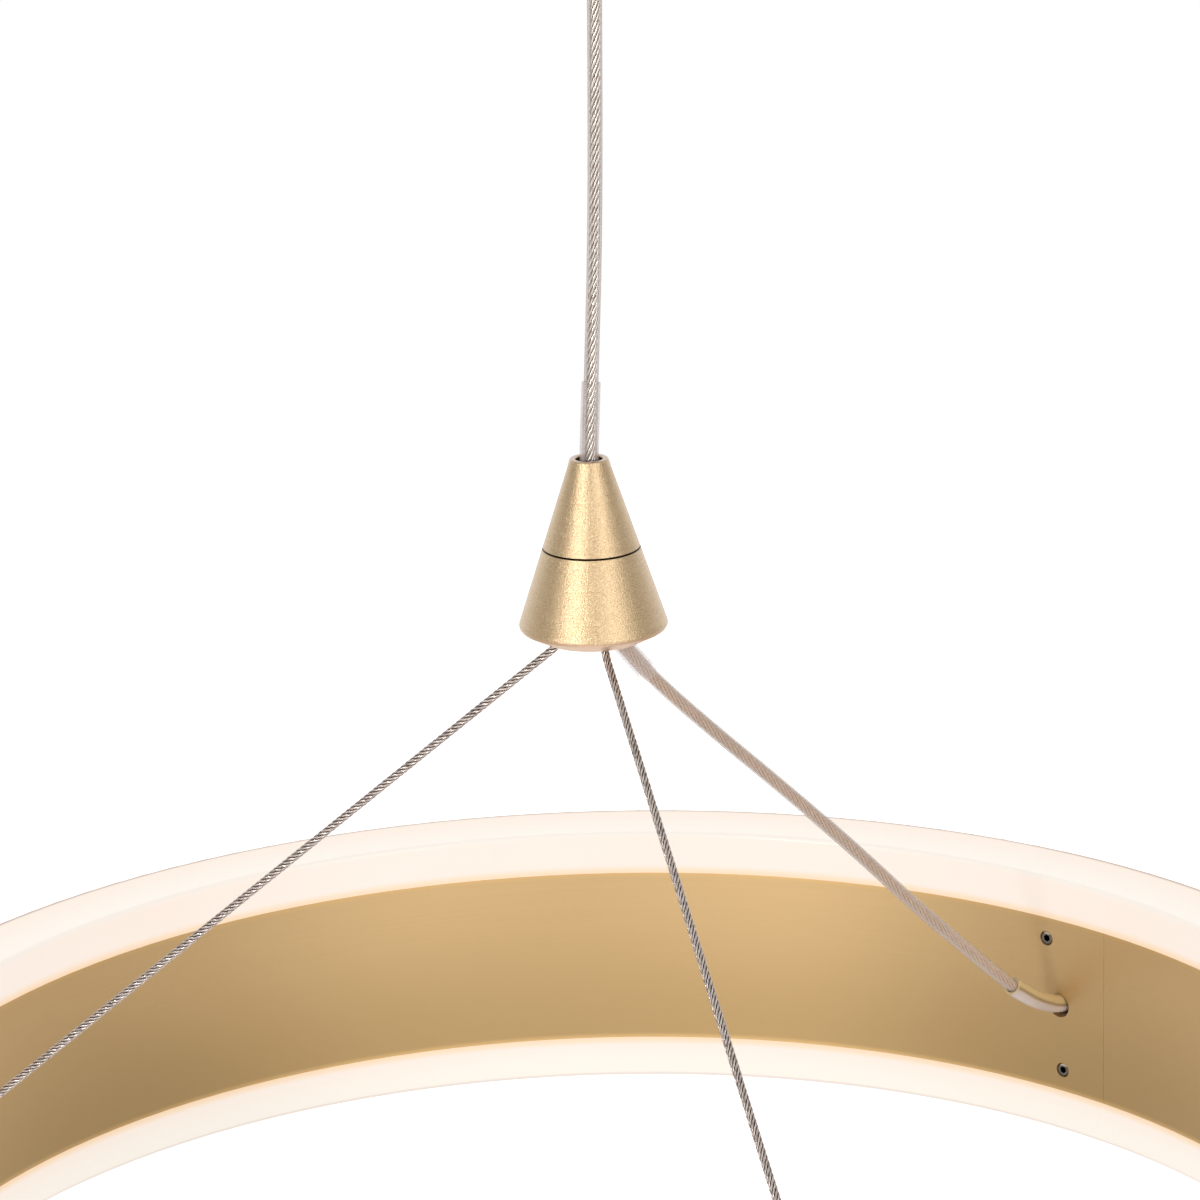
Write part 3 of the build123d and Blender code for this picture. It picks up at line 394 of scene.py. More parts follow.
def strand_group():
    """Fine wires or threads laid at a slant round a strand, each with its own shade, from its UV map,
    and how far the strand's side faces outward."""
    tree, given, result = group("laid threads", {
        "Place": (0.0, 0.0, 0.0), "Threads": 6.0, "Lay Length": 0.004,
    }, ["Ridge", "Shade", "Outward"])
    split = put(tree, "ShaderNodeSeparateXYZ", {0: given.outputs["Place"]})
    along = split.outputs[0]
    around = split.outputs[1]
    slanted = reckon(tree, "ADD", reckon(tree, "DIVIDE", along, given.outputs["Lay Length"]), around)
    thread = reckon(tree, "MULTIPLY", slanted, given.outputs["Threads"])
    ridge = reckon(tree, "MULTIPLY", reckon(tree, "PINGPONG", thread, 0.5), 2.0)
    spot = put(tree, "ShaderNodeCombineXYZ", {
        0: reckon(tree, "MULTIPLY", along, SHADES_PER_METRE), 1: reckon(tree, "FLOOR", thread), 2: 0.0,
    })
    noise = put(tree, "ShaderNodeTexNoise", {"Vector": spot.outputs[0], "Scale": 1, "Detail": 2})
    outward = reckon(tree, "COSINE", reckon(tree, "MULTIPLY", around, tau))
    tree.links.new(outward, result.inputs["Outward"])
    tree.links.new(ridge, result.inputs["Ridge"])
    tree.links.new(noise.outputs[0], result.inputs["Shade"])
    return tree


LATHE_LINES = lathe_lines_group()
GRAIN = grain_group()
LAID_THREADS = strand_group()


# --- Finishes -------------------------------------------------------------------------------------

# Where each tint, painted shade or painted light starts and where it is full, in millimetres.
# Heights in the frame:
BAND_SHADE_DOWNWARD = (RING_MIDDLE_Z + BAND_HALF, RING_MIDDLE_Z - BAND_HALF)
CONE_UNDERSIDE = (CONE_RIM_Z + 0.3, CONE_RIM_Z - 0.6)
CONE_TOP_FACE = (CONE_TOP_Z - 0.25, CONE_TOP_Z - 0.05)
CONE_BELOW_BALL = (-188, -192)
CAP_UNDER_BAND = (RING_MIDDLE_Z - BAND_HALF, RING_MIDDLE_Z - BAND_HALF - 9)
CAP_FOOT_SHADE = (RING_MIDDLE_Z - BAND_HALF - 10.0, RING_MIDDLE_Z - BAND_HALF - 10.7)
BOARD_PARTS = (-30.75, -30.65)
# Heights over or under the ring's middle:
BAND_CAP_GLOW = (BAND_HALF - 1.6, BAND_HALF)
CAP_BY_BAND = (BAND_HALF + 2.5, BAND_HALF + 0.3)
CAP_FLAT = (BAND_HALF + 9.8, BAND_HALF + 11.6)
TAPE_CHIPS = (14.85, 15.0)
# Distances from the axis:
MOUTH_SHADE = (3.05, 3.16)
CAP_INNER_EDGE = (RING_OUTER, RING_INNER)
CAP_OUTLINE_SHADE = (RING_OUTER - 2.6, RING_OUTER - 1.5)
SCREW_SOCKET_SHADE = (RING_INNER + 0.3, RING_INNER + 0.7)
# Distances from the cone's seam, and over a set screw's middle:
SEAM_SHADE = (0.26, 0.16)
SCREW_PAINTED_GLINT = (0.5 * SCREW_RADIUS, 0.8 * SCREW_RADIUS)

# The part of a slow pattern's range over which a tone changes.
SOFT_PATCHES = (0.3, 0.7)
CLEAR_PATCHES = (0.35, 0.65)
SHARP_PATCHES = (0.45, 0.55)

SLEEVE_TINT = (0.90, 0.79, 0.75, 1)
QUARTER_TURN = 0.25


def finish(name, colour, metallic, roughness):
    """A finish with a plain shader and the object's own coordinates, ready for its pattern."""
    material = bpy.data.materials.new(name)
    material.use_nodes = True
    tree = material.node_tree
    shader = tree.nodes["Principled BSDF"]
    shader.inputs["Base Color"].default_value = colour
    shader.inputs["Metallic"].default_value = metallic
    shader.inputs["Roughness"].default_value = roughness
    place = tree.nodes.new("ShaderNodeTexCoord")
    return material, tree, shader, place


def grain_at(tree, place, speck, patch):
    """The grain's speck and patch patterns, with their sizes in millimetres."""
    grain = use(tree, GRAIN, Place=place.outputs["Object"], Speck_Size=speck * MM, Patch_Size=patch * MM)
    return grain.outputs["Speck"], grain.outputs["Patch"]


def bump(tree, shader, pattern, depth):
    """Raises a finish's surface by a pattern, whose depth is in millimetres."""
    made = put(tree, "ShaderNodeBump", {"Height": pattern, "Strength": 1.0, "Distance": depth * MM})
    tree.links.new(made.outputs[0], shader.inputs["Normal"])


def vary_gloss(tree, shader, pattern, lowest, span):
    """Lets a finish's roughness rise from its lowest by a span as a pattern goes from 0 to 1."""
    tree.links.new(vary(tree, lowest, pattern, span), shader.inputs["Roughness"])


def grey(value):
    """A colour without a tint."""
    return (value, value, value, 1)


# How much the slow change counts in a gold's tone, between which shares of the highest tone the colour turns
# from deep to pale, and how deep a gold's lines are before its speckle adds to them.
PATCH_SHARE = 0.25
DEEP_SHARE = 0.32
PALE_SHARE = 0.68
GOLD_RELIEF = 0.015


def brushed_gold(name, pale, deep, rough, axis_x, spacing, streak, speck, brushing, speckle):
    """Anodised gold: fine lines round an axis, a blasted sparkle and a slow change of tone."""
    material, tree, shader, place = finish(name, pale, metallic=1.0, roughness=rough)
    lines = use(tree, LATHE_LINES, Place=place.outputs["Object"], Axis_X=axis_x * MM,
                Line_Spacing=spacing * MM, Streak_Length=streak * MM)
    specks, patches = grain_at(tree, place, speck=speck, patch=50)
    tone = reckon(tree, "MULTIPLY", lines.outputs["Lines"], brushing)
    tone = vary(tree, tone, specks, speckle)
    tone = vary(tree, tone, patches, PATCH_SHARE)
    highest = brushing + speckle + PATCH_SHARE
    share = between(tree, tone, DEEP_SHARE * highest, PALE_SHARE * highest)
    colour = blend_colours(tree, share, deep, pale)
    vary_gloss(tree, shader, tone, lowest=rough - 0.06, span=0.12)
    bump(tree, shader, tone, depth=GOLD_RELIEF * (1 + speckle))
    return material, tree, shader, place, colour, lines


def around_axis(tree, shader, amount):
    """Spreads the gloss across the lines that run round the upright axis."""
    shader.inputs["Anisotropic"].default_value = amount
    shader.inputs["Anisotropic Rotation"].default_value = QUARTER_TURN
    tangent = put(tree, "ShaderNodeTangent", direction_type="RADIAL", axis="Z")
    tree.links.new(tangent.outputs[0], shader.inputs["Tangent"])


def band_gold():
    """The ring's rolled bands: long level brush lines, painted shade that deepens the tone towards the lower
    edge, and a painted warm glow beside the lit caps."""
    material, tree, shader, place, colour, _ = brushed_gold(
        "band_gold", pale=(0.71, 0.49, 0.243, 1), deep=(0.67, 0.46, 0.223, 1), rough=0.42,
        axis_x=HANG_X, spacing=0.3, streak=50, speck=0.32, brushing=1.0, speckle=0.6)
    # Painted shade: the gold turns deeper towards the band's lower edge.
    low = fade(tree, height_of(tree, place), *BAND_SHADE_DOWNWARD)
    colour = blend_colours(tree, low, colour, (0.54, 0.36, 0.16, 1))
    # Painted light: the gold turns warmer within 1.6 mm of each glowing cap.
    cap_glow = fade(tree, reckon(tree, "ABSOLUTE", over_middle(tree, place)), *BAND_CAP_GLOW)
    colour = blend_colours(tree, cap_glow, colour, (0.76, 0.50, 0.22, 1))
    tree.links.new(colour, shader.inputs["Base Color"])
    shader.inputs["Metallic"].default_value = 0.65
    around_axis(tree, shader, 0.35)
    return material


def cone_gold():
    """The turned cone: level lathe lines with a sparkle under a clear coat, painted shade in its seam and
    down its mouth, and a copper-pink top face and underside."""
    material, tree, shader, place, colour, lines = brushed_gold(
        "cone_gold", pale=(0.80, 0.58, 0.31, 1), deep=(0.54, 0.345, 0.145, 1), rough=0.275,
        axis_x=HANG_X, spacing=0.3, streak=10, speck=0.28, brushing=0.7, speckle=2.2)
    z = height_of(tree, place)
    colour = blend_colours(tree, fade(tree, z, *CONE_UNDERSIDE), colour, (0.72, 0.47, 0.30, 1))
    colour = blend_colours(tree, fade(tree, z, *CONE_TOP_FACE), colour, (0.60, 0.44, 0.33, 1))
    # Painted shade: the seam's groove is coloured near black and has no coat.
    off_seam = reckon(tree, "ABSOLUTE", reckon(tree, "SUBTRACT", z, CONE_SEAM_Z * MM))
    seam = fade(tree, off_seam, *SEAM_SHADE)
    colour = blend_colours(tree, seam, colour, (0.02, 0.015, 0.01, 1))
    # Painted shade: the bore inside the mouth, above the cable's ball, is near black and has no coat.
    past_mouth = fade(tree, lines.outputs["Radius"], *MOUTH_SHADE)
    outside = reckon(tree, "MAXIMUM", past_mouth, fade(tree, z, *CONE_BELOW_BALL))
    colour = blend_colours(tree, outside, (0.05, 0.04, 0.03, 1), colour)
    tree.links.new(colour, shader.inputs["Base Color"])
    coat = reckon(tree, "MULTIPLY", outside, reckon(tree, "SUBTRACT", 1.0, seam))
    tree.links.new(coat, shader.inputs["Coat Weight"])
    tree.links.new(shader.inputs["Normal"].links[0].from_socket, shader.inputs["Coat Normal"])
    shader.inputs["Coat Roughness"].default_value = 0.3
    shader.inputs["Coat IOR"].default_value = 1.9
    around_axis(tree, shader, 0.3)
    return material


def canopy_gold():
    """The spun canopy and the turned cord grip."""
    material, tree, shader, _, colour, _ = brushed_gold(
        "canopy_gold", pale=(0.64, 0.455, 0.23, 1), deep=(0.54, 0.37, 0.175, 1), rough=0.32,
        axis_x=0, spacing=0.4, streak=20, speck=0.32, brushing=1.0, speckle=0.5)
    tree.links.new(colour, shader.inputs["Base Color"])
    around_axis(tree, shader, 0.4)
    return material


def lit_cap():
    """Opal caps with light behind them: amber at the gold, warm on the sides, palest on the inner edges, and
    with painted shade dulling the outer edges and the lowest rim."""
    material, tree, shader, place = finish("lit_cap", (0.36, 0.33, 0.30, 1), metallic=0.0, roughness=0.3)
    split = put(tree, "ShaderNodeSeparateXYZ", {0: place.outputs["Object"]})
    z = split.outputs[2]
    radius = from_axis(tree, reckon(tree, "SUBTRACT", split.outputs[0], HANG_X * MM), split.outputs[1])
    off_middle = reckon(tree, "ABSOLUTE", over_middle(tree, place))
    specks, patches = grain_at(tree, place, speck=1.2, patch=60)
    patch = between(tree, patches, *SOFT_PATCHES)
    side = blend_colours(tree, patch, (1.0, 0.85, 0.755, 1), (1.0, 0.87, 0.78, 1))
    side = blend_colours(tree, fade(tree, z, *CAP_UNDER_BAND), side, (1.0, 0.94, 0.84, 1))
    side = blend_colours(tree, fade(tree, off_middle, *CAP_BY_BAND), side, (1.0, 0.70, 0.42, 1))
    inward = fade(tree, radius, *CAP_INNER_EDGE)
    top = blend_colours(tree, inward, (0.92, 0.77, 0.655, 1), (0.92, 0.87, 0.79, 1))
    flat = fade(tree, off_middle, *CAP_FLAT)
    upper = reckon(tree, "GREATER_THAN", z, RING_MIDDLE_Z * MM)
    colour = blend_colours(tree, reckon(tree, "MULTIPLY", flat, upper), side, top)
    # Painted shade: a dull line along the outer edge of each cap's flat face.
    outline_shade = reckon(tree, "MULTIPLY", fade(tree, radius, *CAP_OUTLINE_SHADE), flat)
    colour = blend_colours(tree, outline_shade, colour, (0.42, 0.29, 0.23, 1))
    # Painted shade: a dull line along the lower cap's lowest rim.
    colour = blend_colours(tree, fade(tree, z, *CAP_FOOT_SHADE), colour, (0.83, 0.73, 0.66, 1))
    tree.links.new(colour, shader.inputs["Emission Color"])
    shader.inputs["Emission Strength"].default_value = 0.7
    vary_gloss(tree, shader, specks, lowest=0.26, span=0.12)
    bump(tree, shader, specks, depth=0.004)
    return material


def grained(name, pale, deep, metallic, rough, spread, patch_range, speck, patch, depth):
    """A fine grain in the gloss and the relief, and a slow change of tone."""
    material, tree, shader, place = finish(name, pale, metallic, rough)
    specks, patches = grain_at(tree, place, speck, patch)
    share = between(tree, patches, *patch_range)
    tree.links.new(blend_colours(tree, share, deep, pale), shader.inputs["Base Color"])
    vary_gloss(tree, shader, specks, lowest=rough - spread, span=2 * spread)
    bump(tree, shader, specks, depth)
    return material


def plain_metal(name, pale, deep, rough, speck, patch, depth):
    """Drawn, plated or cast metal."""
    return grained(name, pale, deep, metallic=1.0, rough=rough, spread=0.08, patch_range=CLEAR_PATCHES,
                   speck=speck, patch=patch, depth=depth)


def moulded(name, pale, deep, rough, depth):
    """Moulded plastic or rubber with a fine leathery skin."""
    return grained(name, pale, deep, metallic=0.0, rough=rough, spread=0.06, patch_range=SOFT_PATCHES,
                   speck=0.6, patch=12, depth=depth)


def screw_steel():
    """Set screws, with painted shade down their sockets and round their chamfers, and a painted glint at
    their tops.
    """
    material, tree, shader, place = finish("screw_steel", (0.7, 0.62, 0.55, 1), metallic=1.0, roughness=0.2)
    lines = use(tree, LATHE_LINES, Place=place.outputs["Object"], Axis_X=HANG_X * MM)
    specks, patches = grain_at(tree, place, speck=0.4, patch=3)
    patch = between(tree, patches, *CLEAR_PATCHES)
    colour = blend_colours(tree, patch, (0.19, 0.155, 0.13, 1), (0.32, 0.27, 0.235, 1))
    # Painted highlight: a pale glint on the upper part of each screw's face.
    above = over_middle(tree, place)
    row = reckon(tree, "MULTIPLY", reckon(tree, "SIGN", above), SCREW_OFFSET * MM)
    glint = fade(tree, reckon(tree, "SUBTRACT", above, row), *SCREW_PAINTED_GLINT)
    colour = blend_colours(tree, glint, colour, (0.96, 0.88, 0.79, 1))
    # Painted shade: near black down the socket and round the chamfer.
    deep = fade(tree, lines.outputs["Radius"], *SCREW_SOCKET_SHADE)
    colour = blend_colours(tree, deep, colour, (0.03, 0.025, 0.02, 1))
    tree.links.new(colour, shader.inputs["Base Color"])
    vary_gloss(tree, shader, specks, lowest=0.14, span=0.14)
    bump(tree, shader, specks, depth=0.01)
    return material


def laid_threads(name, bright, dark, threads, lay, rough, depth, metallic):
    """A strand of fine wires or threads laid at a slant, bright on their backs, with painted shade between
    the threads and on the strand's inner side.
    """
    material, tree, shader, place = finish(name, bright, metallic, rough)
    laid = use(tree, LAID_THREADS, Place=place.outputs["UV"], Threads=threads, Lay_Length=lay * MM)
    # Painted shade: the dark colour fills the grooves between threads and the side of a strand that faces
    # inward.
    back = between(tree, laid.outputs["Ridge"], 0.0, 0.6, to_low=0.35)
    shade = between(tree, laid.outputs["Shade"], 0.3, 0.6, to_low=0.4)
    share = reckon(tree, "MULTIPLY", reckon(tree, "MULTIPLY", back, shade),
                   between(tree, laid.outputs["Outward"], 0.1, 0.8))
    tree.links.new(blend_colours(tree, share, dark, bright), shader.inputs["Base Color"])
    vary_gloss(tree, shader, laid.outputs["Shade"], lowest=rough, span=0.15)
    bump(tree, shader, laid.outputs["Ridge"], depth)
    return material


def clear_plastic(name, colour, middle, edge, rough):
    """A clear jacket or sleeve that turns milky where it is seen edge-on."""
    material, tree, shader, place = finish(name, colour, metallic=0.0, roughness=rough)
    specks, patches = grain_at(tree, place, speck=0.9, patch=10)
    facing = put(tree, "ShaderNodeLayerWeight", {"Blend": 0.5}).outputs["Facing"]
    milk = between(tree, facing, 0.1, 0.6, to_low=middle, to_high=edge)
    tree.links.new(vary(tree, milk, patches, 0.04), shader.inputs["Alpha"])
    duller = tuple(0.92 * value for value in colour[:3]) + (1,)
    shade = blend_colours(tree, between(tree, patches, *SOFT_PATCHES), duller, colour)
    tree.links.new(shade, shader.inputs["Base Color"])
    bump(tree, shader, specks, depth=0.003)
    return material


def sleeve_by_band():
    """The lower sleeve: pinkish below, with a painted reflection of the gold band on its upper side and a
    painted dark band between.
    """
    material = clear_plastic("clear_sleeve_by_band", SLEEVE_TINT, middle=0.62, edge=0.80, rough=0.3)
    tree = material.node_tree
    shader = tree.nodes["Principled BSDF"]
    below = shader.inputs["Base Color"].links[0].from_socket
    facing = tree.nodes.new("ShaderNodeNewGeometry").outputs["Normal"]
    up = put(tree, "ShaderNodeSeparateXYZ", {0: facing}).outputs[2]
    # Painted reflection: the upper side takes the band's gold, with a dark band where that reflection
    # begins.
    tint = blend_colours(tree, between(tree, up, -0.25, 0.0), below, (0.50, 0.37, 0.20, 1))
    tint = blend_colours(tree, between(tree, up, 0.05, 0.3), tint, (0.84, 0.67, 0.36, 1))
    tree.links.new(tint, shader.inputs["Base Color"])
    return material


def circuit_board():
    """Green board below, dark transformer and capacitors above, told apart by their height."""
    material, tree, shader, place = finish("circuit_board", (0.02, 0.16, 0.06, 1),
                                           metallic=0.0, roughness=0.4)
    specks, patches = grain_at(tree, place, speck=0.8, patch=6)
    patch = between(tree, patches, *SHARP_PATCHES)
    board = blend_colours(tree, patch, (0.015, 0.13, 0.05, 1), (0.03, 0.22, 0.08, 1))
    above = fade(tree, height_of(tree, place), *BOARD_PARTS)
    colour = blend_colours(tree, above, board, (0.05, 0.045, 0.04, 1))
    tree.links.new(colour, shader.inputs["Base Color"])
    bump(tree, shader, specks, depth=0.02)
    return material


def led_tape():
    """White tape with warm phosphor on its chips, told apart by their height over the tape."""
    material, tree, shader, place = finish("led_tape", (0.8, 0.8, 0.78, 1), metallic=0.0, roughness=0.45)
    _, patches = grain_at(tree, place, speck=0.8, patch=10)
    patch = between(tree, patches, *SOFT_PATCHES)
    tape = blend_colours(tree, patch, (0.72, 0.72, 0.70, 1), (0.82, 0.82, 0.8, 1))
    chip = fade(tree, reckon(tree, "ABSOLUTE", over_middle(tree, place)), *TAPE_CHIPS)
    tree.links.new(blend_colours(tree, chip, tape, (0.85, 0.62, 0.12, 1)), shader.inputs["Base Color"])
    glow = blend_colours(tree, chip, grey(0), (1.0, 0.72, 0.36, 1))
    tree.links.new(glow, shader.inputs["Emission Color"])
    shader.inputs["Emission Strength"].default_value = 1.0
    return material


BAND_GOLD = band_gold()
CONE_GOLD = cone_gold()
CANOPY_GOLD = canopy_gold()
LIT_CAP = lit_cap()
ZINC = plain_metal("zinc_plate", (0.62, 0.62, 0.60, 1), (0.48, 0.49, 0.50, 1),
                   rough=0.38, speck=0.8, patch=6, depth=0.01)
BRASS = plain_metal("brass", (0.78, 0.60, 0.30, 1), (0.66, 0.48, 0.22, 1),
                    rough=0.3, speck=0.6, patch=10, depth=0.008)
ALUMINIUM = plain_metal("drawn_aluminium", (0.75, 0.75, 0.76, 1), (0.66, 0.66, 0.68, 1),
                        rough=0.36, speck=0.6, patch=20, depth=0.008)
TINNED = plain_metal("tinned_copper", (0.66, 0.64, 0.60, 1), (0.50, 0.48, 0.45, 1),
                     rough=0.34, speck=0.5, patch=4, depth=0.01)
SCREW_STEEL = screw_steel()
WHITE_PLASTIC = moulded("white_plastic", (0.80, 0.79, 0.76, 1), (0.74, 0.73, 0.70, 1),
                        rough=0.42, depth=0.02)
BLACK_PLASTIC = moulded("black_plastic", (0.035, 0.033, 0.032, 1), (0.022, 0.021, 0.020, 1),
                        rough=0.45, depth=0.02)
BROWN_PLASTIC = moulded("brown_plastic", (0.17, 0.085, 0.035, 1), (0.12, 0.06, 0.025, 1),
                        rough=0.45, depth=0.02)
NYLON = moulded("nylon", (0.70, 0.67, 0.60, 1), (0.62, 0.58, 0.50, 1), rough=0.40, depth=0.01)
LEAD_SKIN = moulded("lead_skin", (0.62, 0.60, 0.57, 1), (0.52, 0.50, 0.47, 1), rough=0.40, depth=0.01)
# The second colour of each laid strand is its painted shade.
WIRE_STEEL = laid_threads("laid_steel", (0.93, 0.82, 0.76, 1), (0.09, 0.058, 0.043, 1),
                          threads=4, lay=4.2, rough=0.26, depth=0.08, metallic=0.8)
CABLE_COPPER = laid_threads("tinned_strands", (1.0, 0.95, 0.89, 1), (0.32, 0.23, 0.17, 1),
                            threads=3, lay=6.5, rough=0.22, depth=0.08, metallic=0.8)
BROWN_BRAID = laid_threads("brown_braid", (0.95, 0.72, 0.54, 1), (0.52, 0.35, 0.24, 1),
                           threads=4, lay=7, rough=0.45, depth=0.06, metallic=0.0)
JACKET = clear_plastic("clear_jacket", (0.68, 0.58, 0.53, 1), middle=0.05, edge=0.50, rough=0.25)
SLEEVE = clear_plastic("clear_sleeve", SLEEVE_TINT, middle=0.05, edge=0.38, rough=0.3)
SLEEVE_BY_BAND = sleeve_by_band()
CIRCUIT_BOARD = circuit_board()
LED_TAPE = led_tape()

FINISHES = {
    BAND_GOLD: ["inner_band", "outer_band"],
    CONE_GOLD: ["cone_top", "cone_base"],
    CANOPY_GOLD: ["canopy_cup", "canopy_screws", "grip_body", "grip_cap"],
    LIT_CAP: ["upper_diffuser", "lower_diffuser"],
    ZINC: ["ceiling_bracket"],
    BRASS: ["grip_nut", "terminal_clamps", "cable_ball_stop"],
    ALUMINIUM: ["upper_tray", "lower_tray", "joint_plates"],
    TINNED: ["splice_sleeve", "cone_wire_stops", "ring_wire_stops"],
    SCREW_STEEL: ["ring_screws"],
    WHITE_PLASTIC: ["driver_base", "driver_lid", "terminal_block"],
    BLACK_PLASTIC: ["wire_anchors"],
    BROWN_PLASTIC: ["cable_anchor"],
    NYLON: ["grip_collet", "seat_bush"],
    LEAD_SKIN: ["driver_input_leads", "driver_output_leads", "cable_head",
                "upper_strip_lead", "lower_strip_lead"],
    SLEEVE: ["main_cable_sleeve", "ring_cable_upper_sleeve"],
    SLEEVE_BY_BAND: ["ring_cable_lower_sleeve"],
    JACKET: ["main_cable", "ring_cable"],
    WIRE_STEEL: ["left_wire", "front_wire"],
    CIRCUIT_BOARD: ["driver_board"],
    LED_TAPE: ["upper_led_strip", "lower_led_strip"],
}


def dress_construction():
    """Gives every piece of the construction its finish."""
    for material, nodes in FINISHES.items():
        for name in nodes:
            slots = frame["nodes"][name].data.materials
            slots.clear()
            slots.append(material)


# --- Cords ----------------------------------------------------------------------------------------

# A wire's strands: their radius, how far their middles lie from the wire's, and the length of one turn.
STRAND_RADIUS = 0.33
STRAND_OFFSET = 0.66
STRAND_TURN = 9
STRANDS = 6

# How many sides the tubes have.
STRAND_SIDES = 8
FILLER_SIDES = 12
JACKET_SIDES = 24


def steel_wire(name, azimuth):
    """Six strands laid round a seventh."""
    route = [hanging(radius, azimuth, z) for radius, z in WIRE_ROUTE]
    line = smooth_line(route)
    mesh = bmesh.new()
    for number in range(STRANDS):
        strand = helix(line, STRAND_OFFSET * MM, STRAND_TURN * MM, tau * number / STRANDS)
        add_tube(mesh, strand, STRAND_RADIUS * MM, STRAND_SIDES, line)
    add_tube(mesh, line, STRAND_RADIUS * MM, STRAND_SIDES)
    wire = piece(f"{name}_laid", mesh, WIRE_STEEL, "light")
    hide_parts(name)


def laid_core(name, line, radius, turn, strand_radius, count, material, body):
    """A jacketed cable's core: strands laid side by side round a filler, with their sizes in millimetres."""
    mesh = bmesh.new()
    for number in range(count):
        strand = helix(line, radius * MM, turn * MM, tau * number / count)
        add_tube(mesh, strand, strand_radius * MM, STRAND_SIDES, line)
    add_tube(mesh, line, radius * MM, FILLER_SIDES)
    return piece(name, mesh, material, body)


def jacket_of(name, line, body):
    """The clear jacket of a cable along its line."""
    mesh = bmesh.new()
    add_tube(mesh, line, CABLE_DIAMETER / 2 * MM, JACKET_SIDES)
    return piece(name, mesh, JACKET, body)


def main_cable():
    """Silvery strands in a clear jacket, with the clear sleeve that enters the cone."""
    route = [mm(x, 0, z) for x, z in MAIN_ROUTE]
    line = smooth_line(route)
    core = laid_core("main_cable_strands", line, radius=0.92, turn=16, strand_radius=0.38, count=8,
                     material=CABLE_COPPER, body="cable")
    jacket = jacket_of("main_cable_jacket", line, "cable")
    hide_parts("main_cable")


def feed_cable():
    """Brown strands in a clear jacket, with a clear sleeve near each end."""
    route = [hanging(radius, CABLE_AZIMUTH, z) for radius, z in FEED_ROUTE]
    line = smooth_line(route)
    core = laid_core("feed_cable_strands", line, radius=0.95, turn=26, strand_radius=0.36, count=9,
                     material=BROWN_BRAID, body="light")
    jacket = jacket_of("feed_cable_jacket", line, "light")
    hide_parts("ring_cable")


# --- Set screws -----------------------------------------------------------------------------------

# The socket's radius runs to the hexagon's corners.
SOCKET_DEPTH = 1.9
SOCKET_RADIUS = 1.0
CHAMFER = 0.35
SCREW_SIDES = 24
SIXTH = tau / 6


def socket_screw_mesh():
    """One set screw along Z, its driven end at the origin: a chamfer and a hexagon socket."""
    mesh = bmesh.new()
    angles = [tau * number / SCREW_SIDES for number in range(SCREW_SIDES)]
    rings = []
    for radius, z in ((SCREW_RADIUS, -SCREW_LENGTH), (SCREW_RADIUS, -CHAMFER), (SCREW_RADIUS - CHAMFER, 0)):
        rings.append([mesh.verts.new(mm(radius * cos(angle), radius * sin(angle), z)) for angle in angles])
    for z in (0, -SOCKET_DEPTH):
        ring = []
        for angle in angles:
            from_flat = angle % SIXTH - SIXTH / 2
            radius = SOCKET_RADIUS * cos(SIXTH / 2) / cos(from_flat)
            ring.append(mesh.verts.new(mm(radius * cos(angle), radius * sin(angle), z)))
        rings.append(ring)
    for lower, upper in zip(rings, rings[1:]):
        for number in range(SCREW_SIDES):
            after = (number + 1) % SCREW_SIDES
            mesh.faces.new((lower[number], lower[after], upper[after], upper[number]))
    mesh.faces.new(reversed(rings[0]))
    mesh.faces.new(rings[-1])
    return mesh


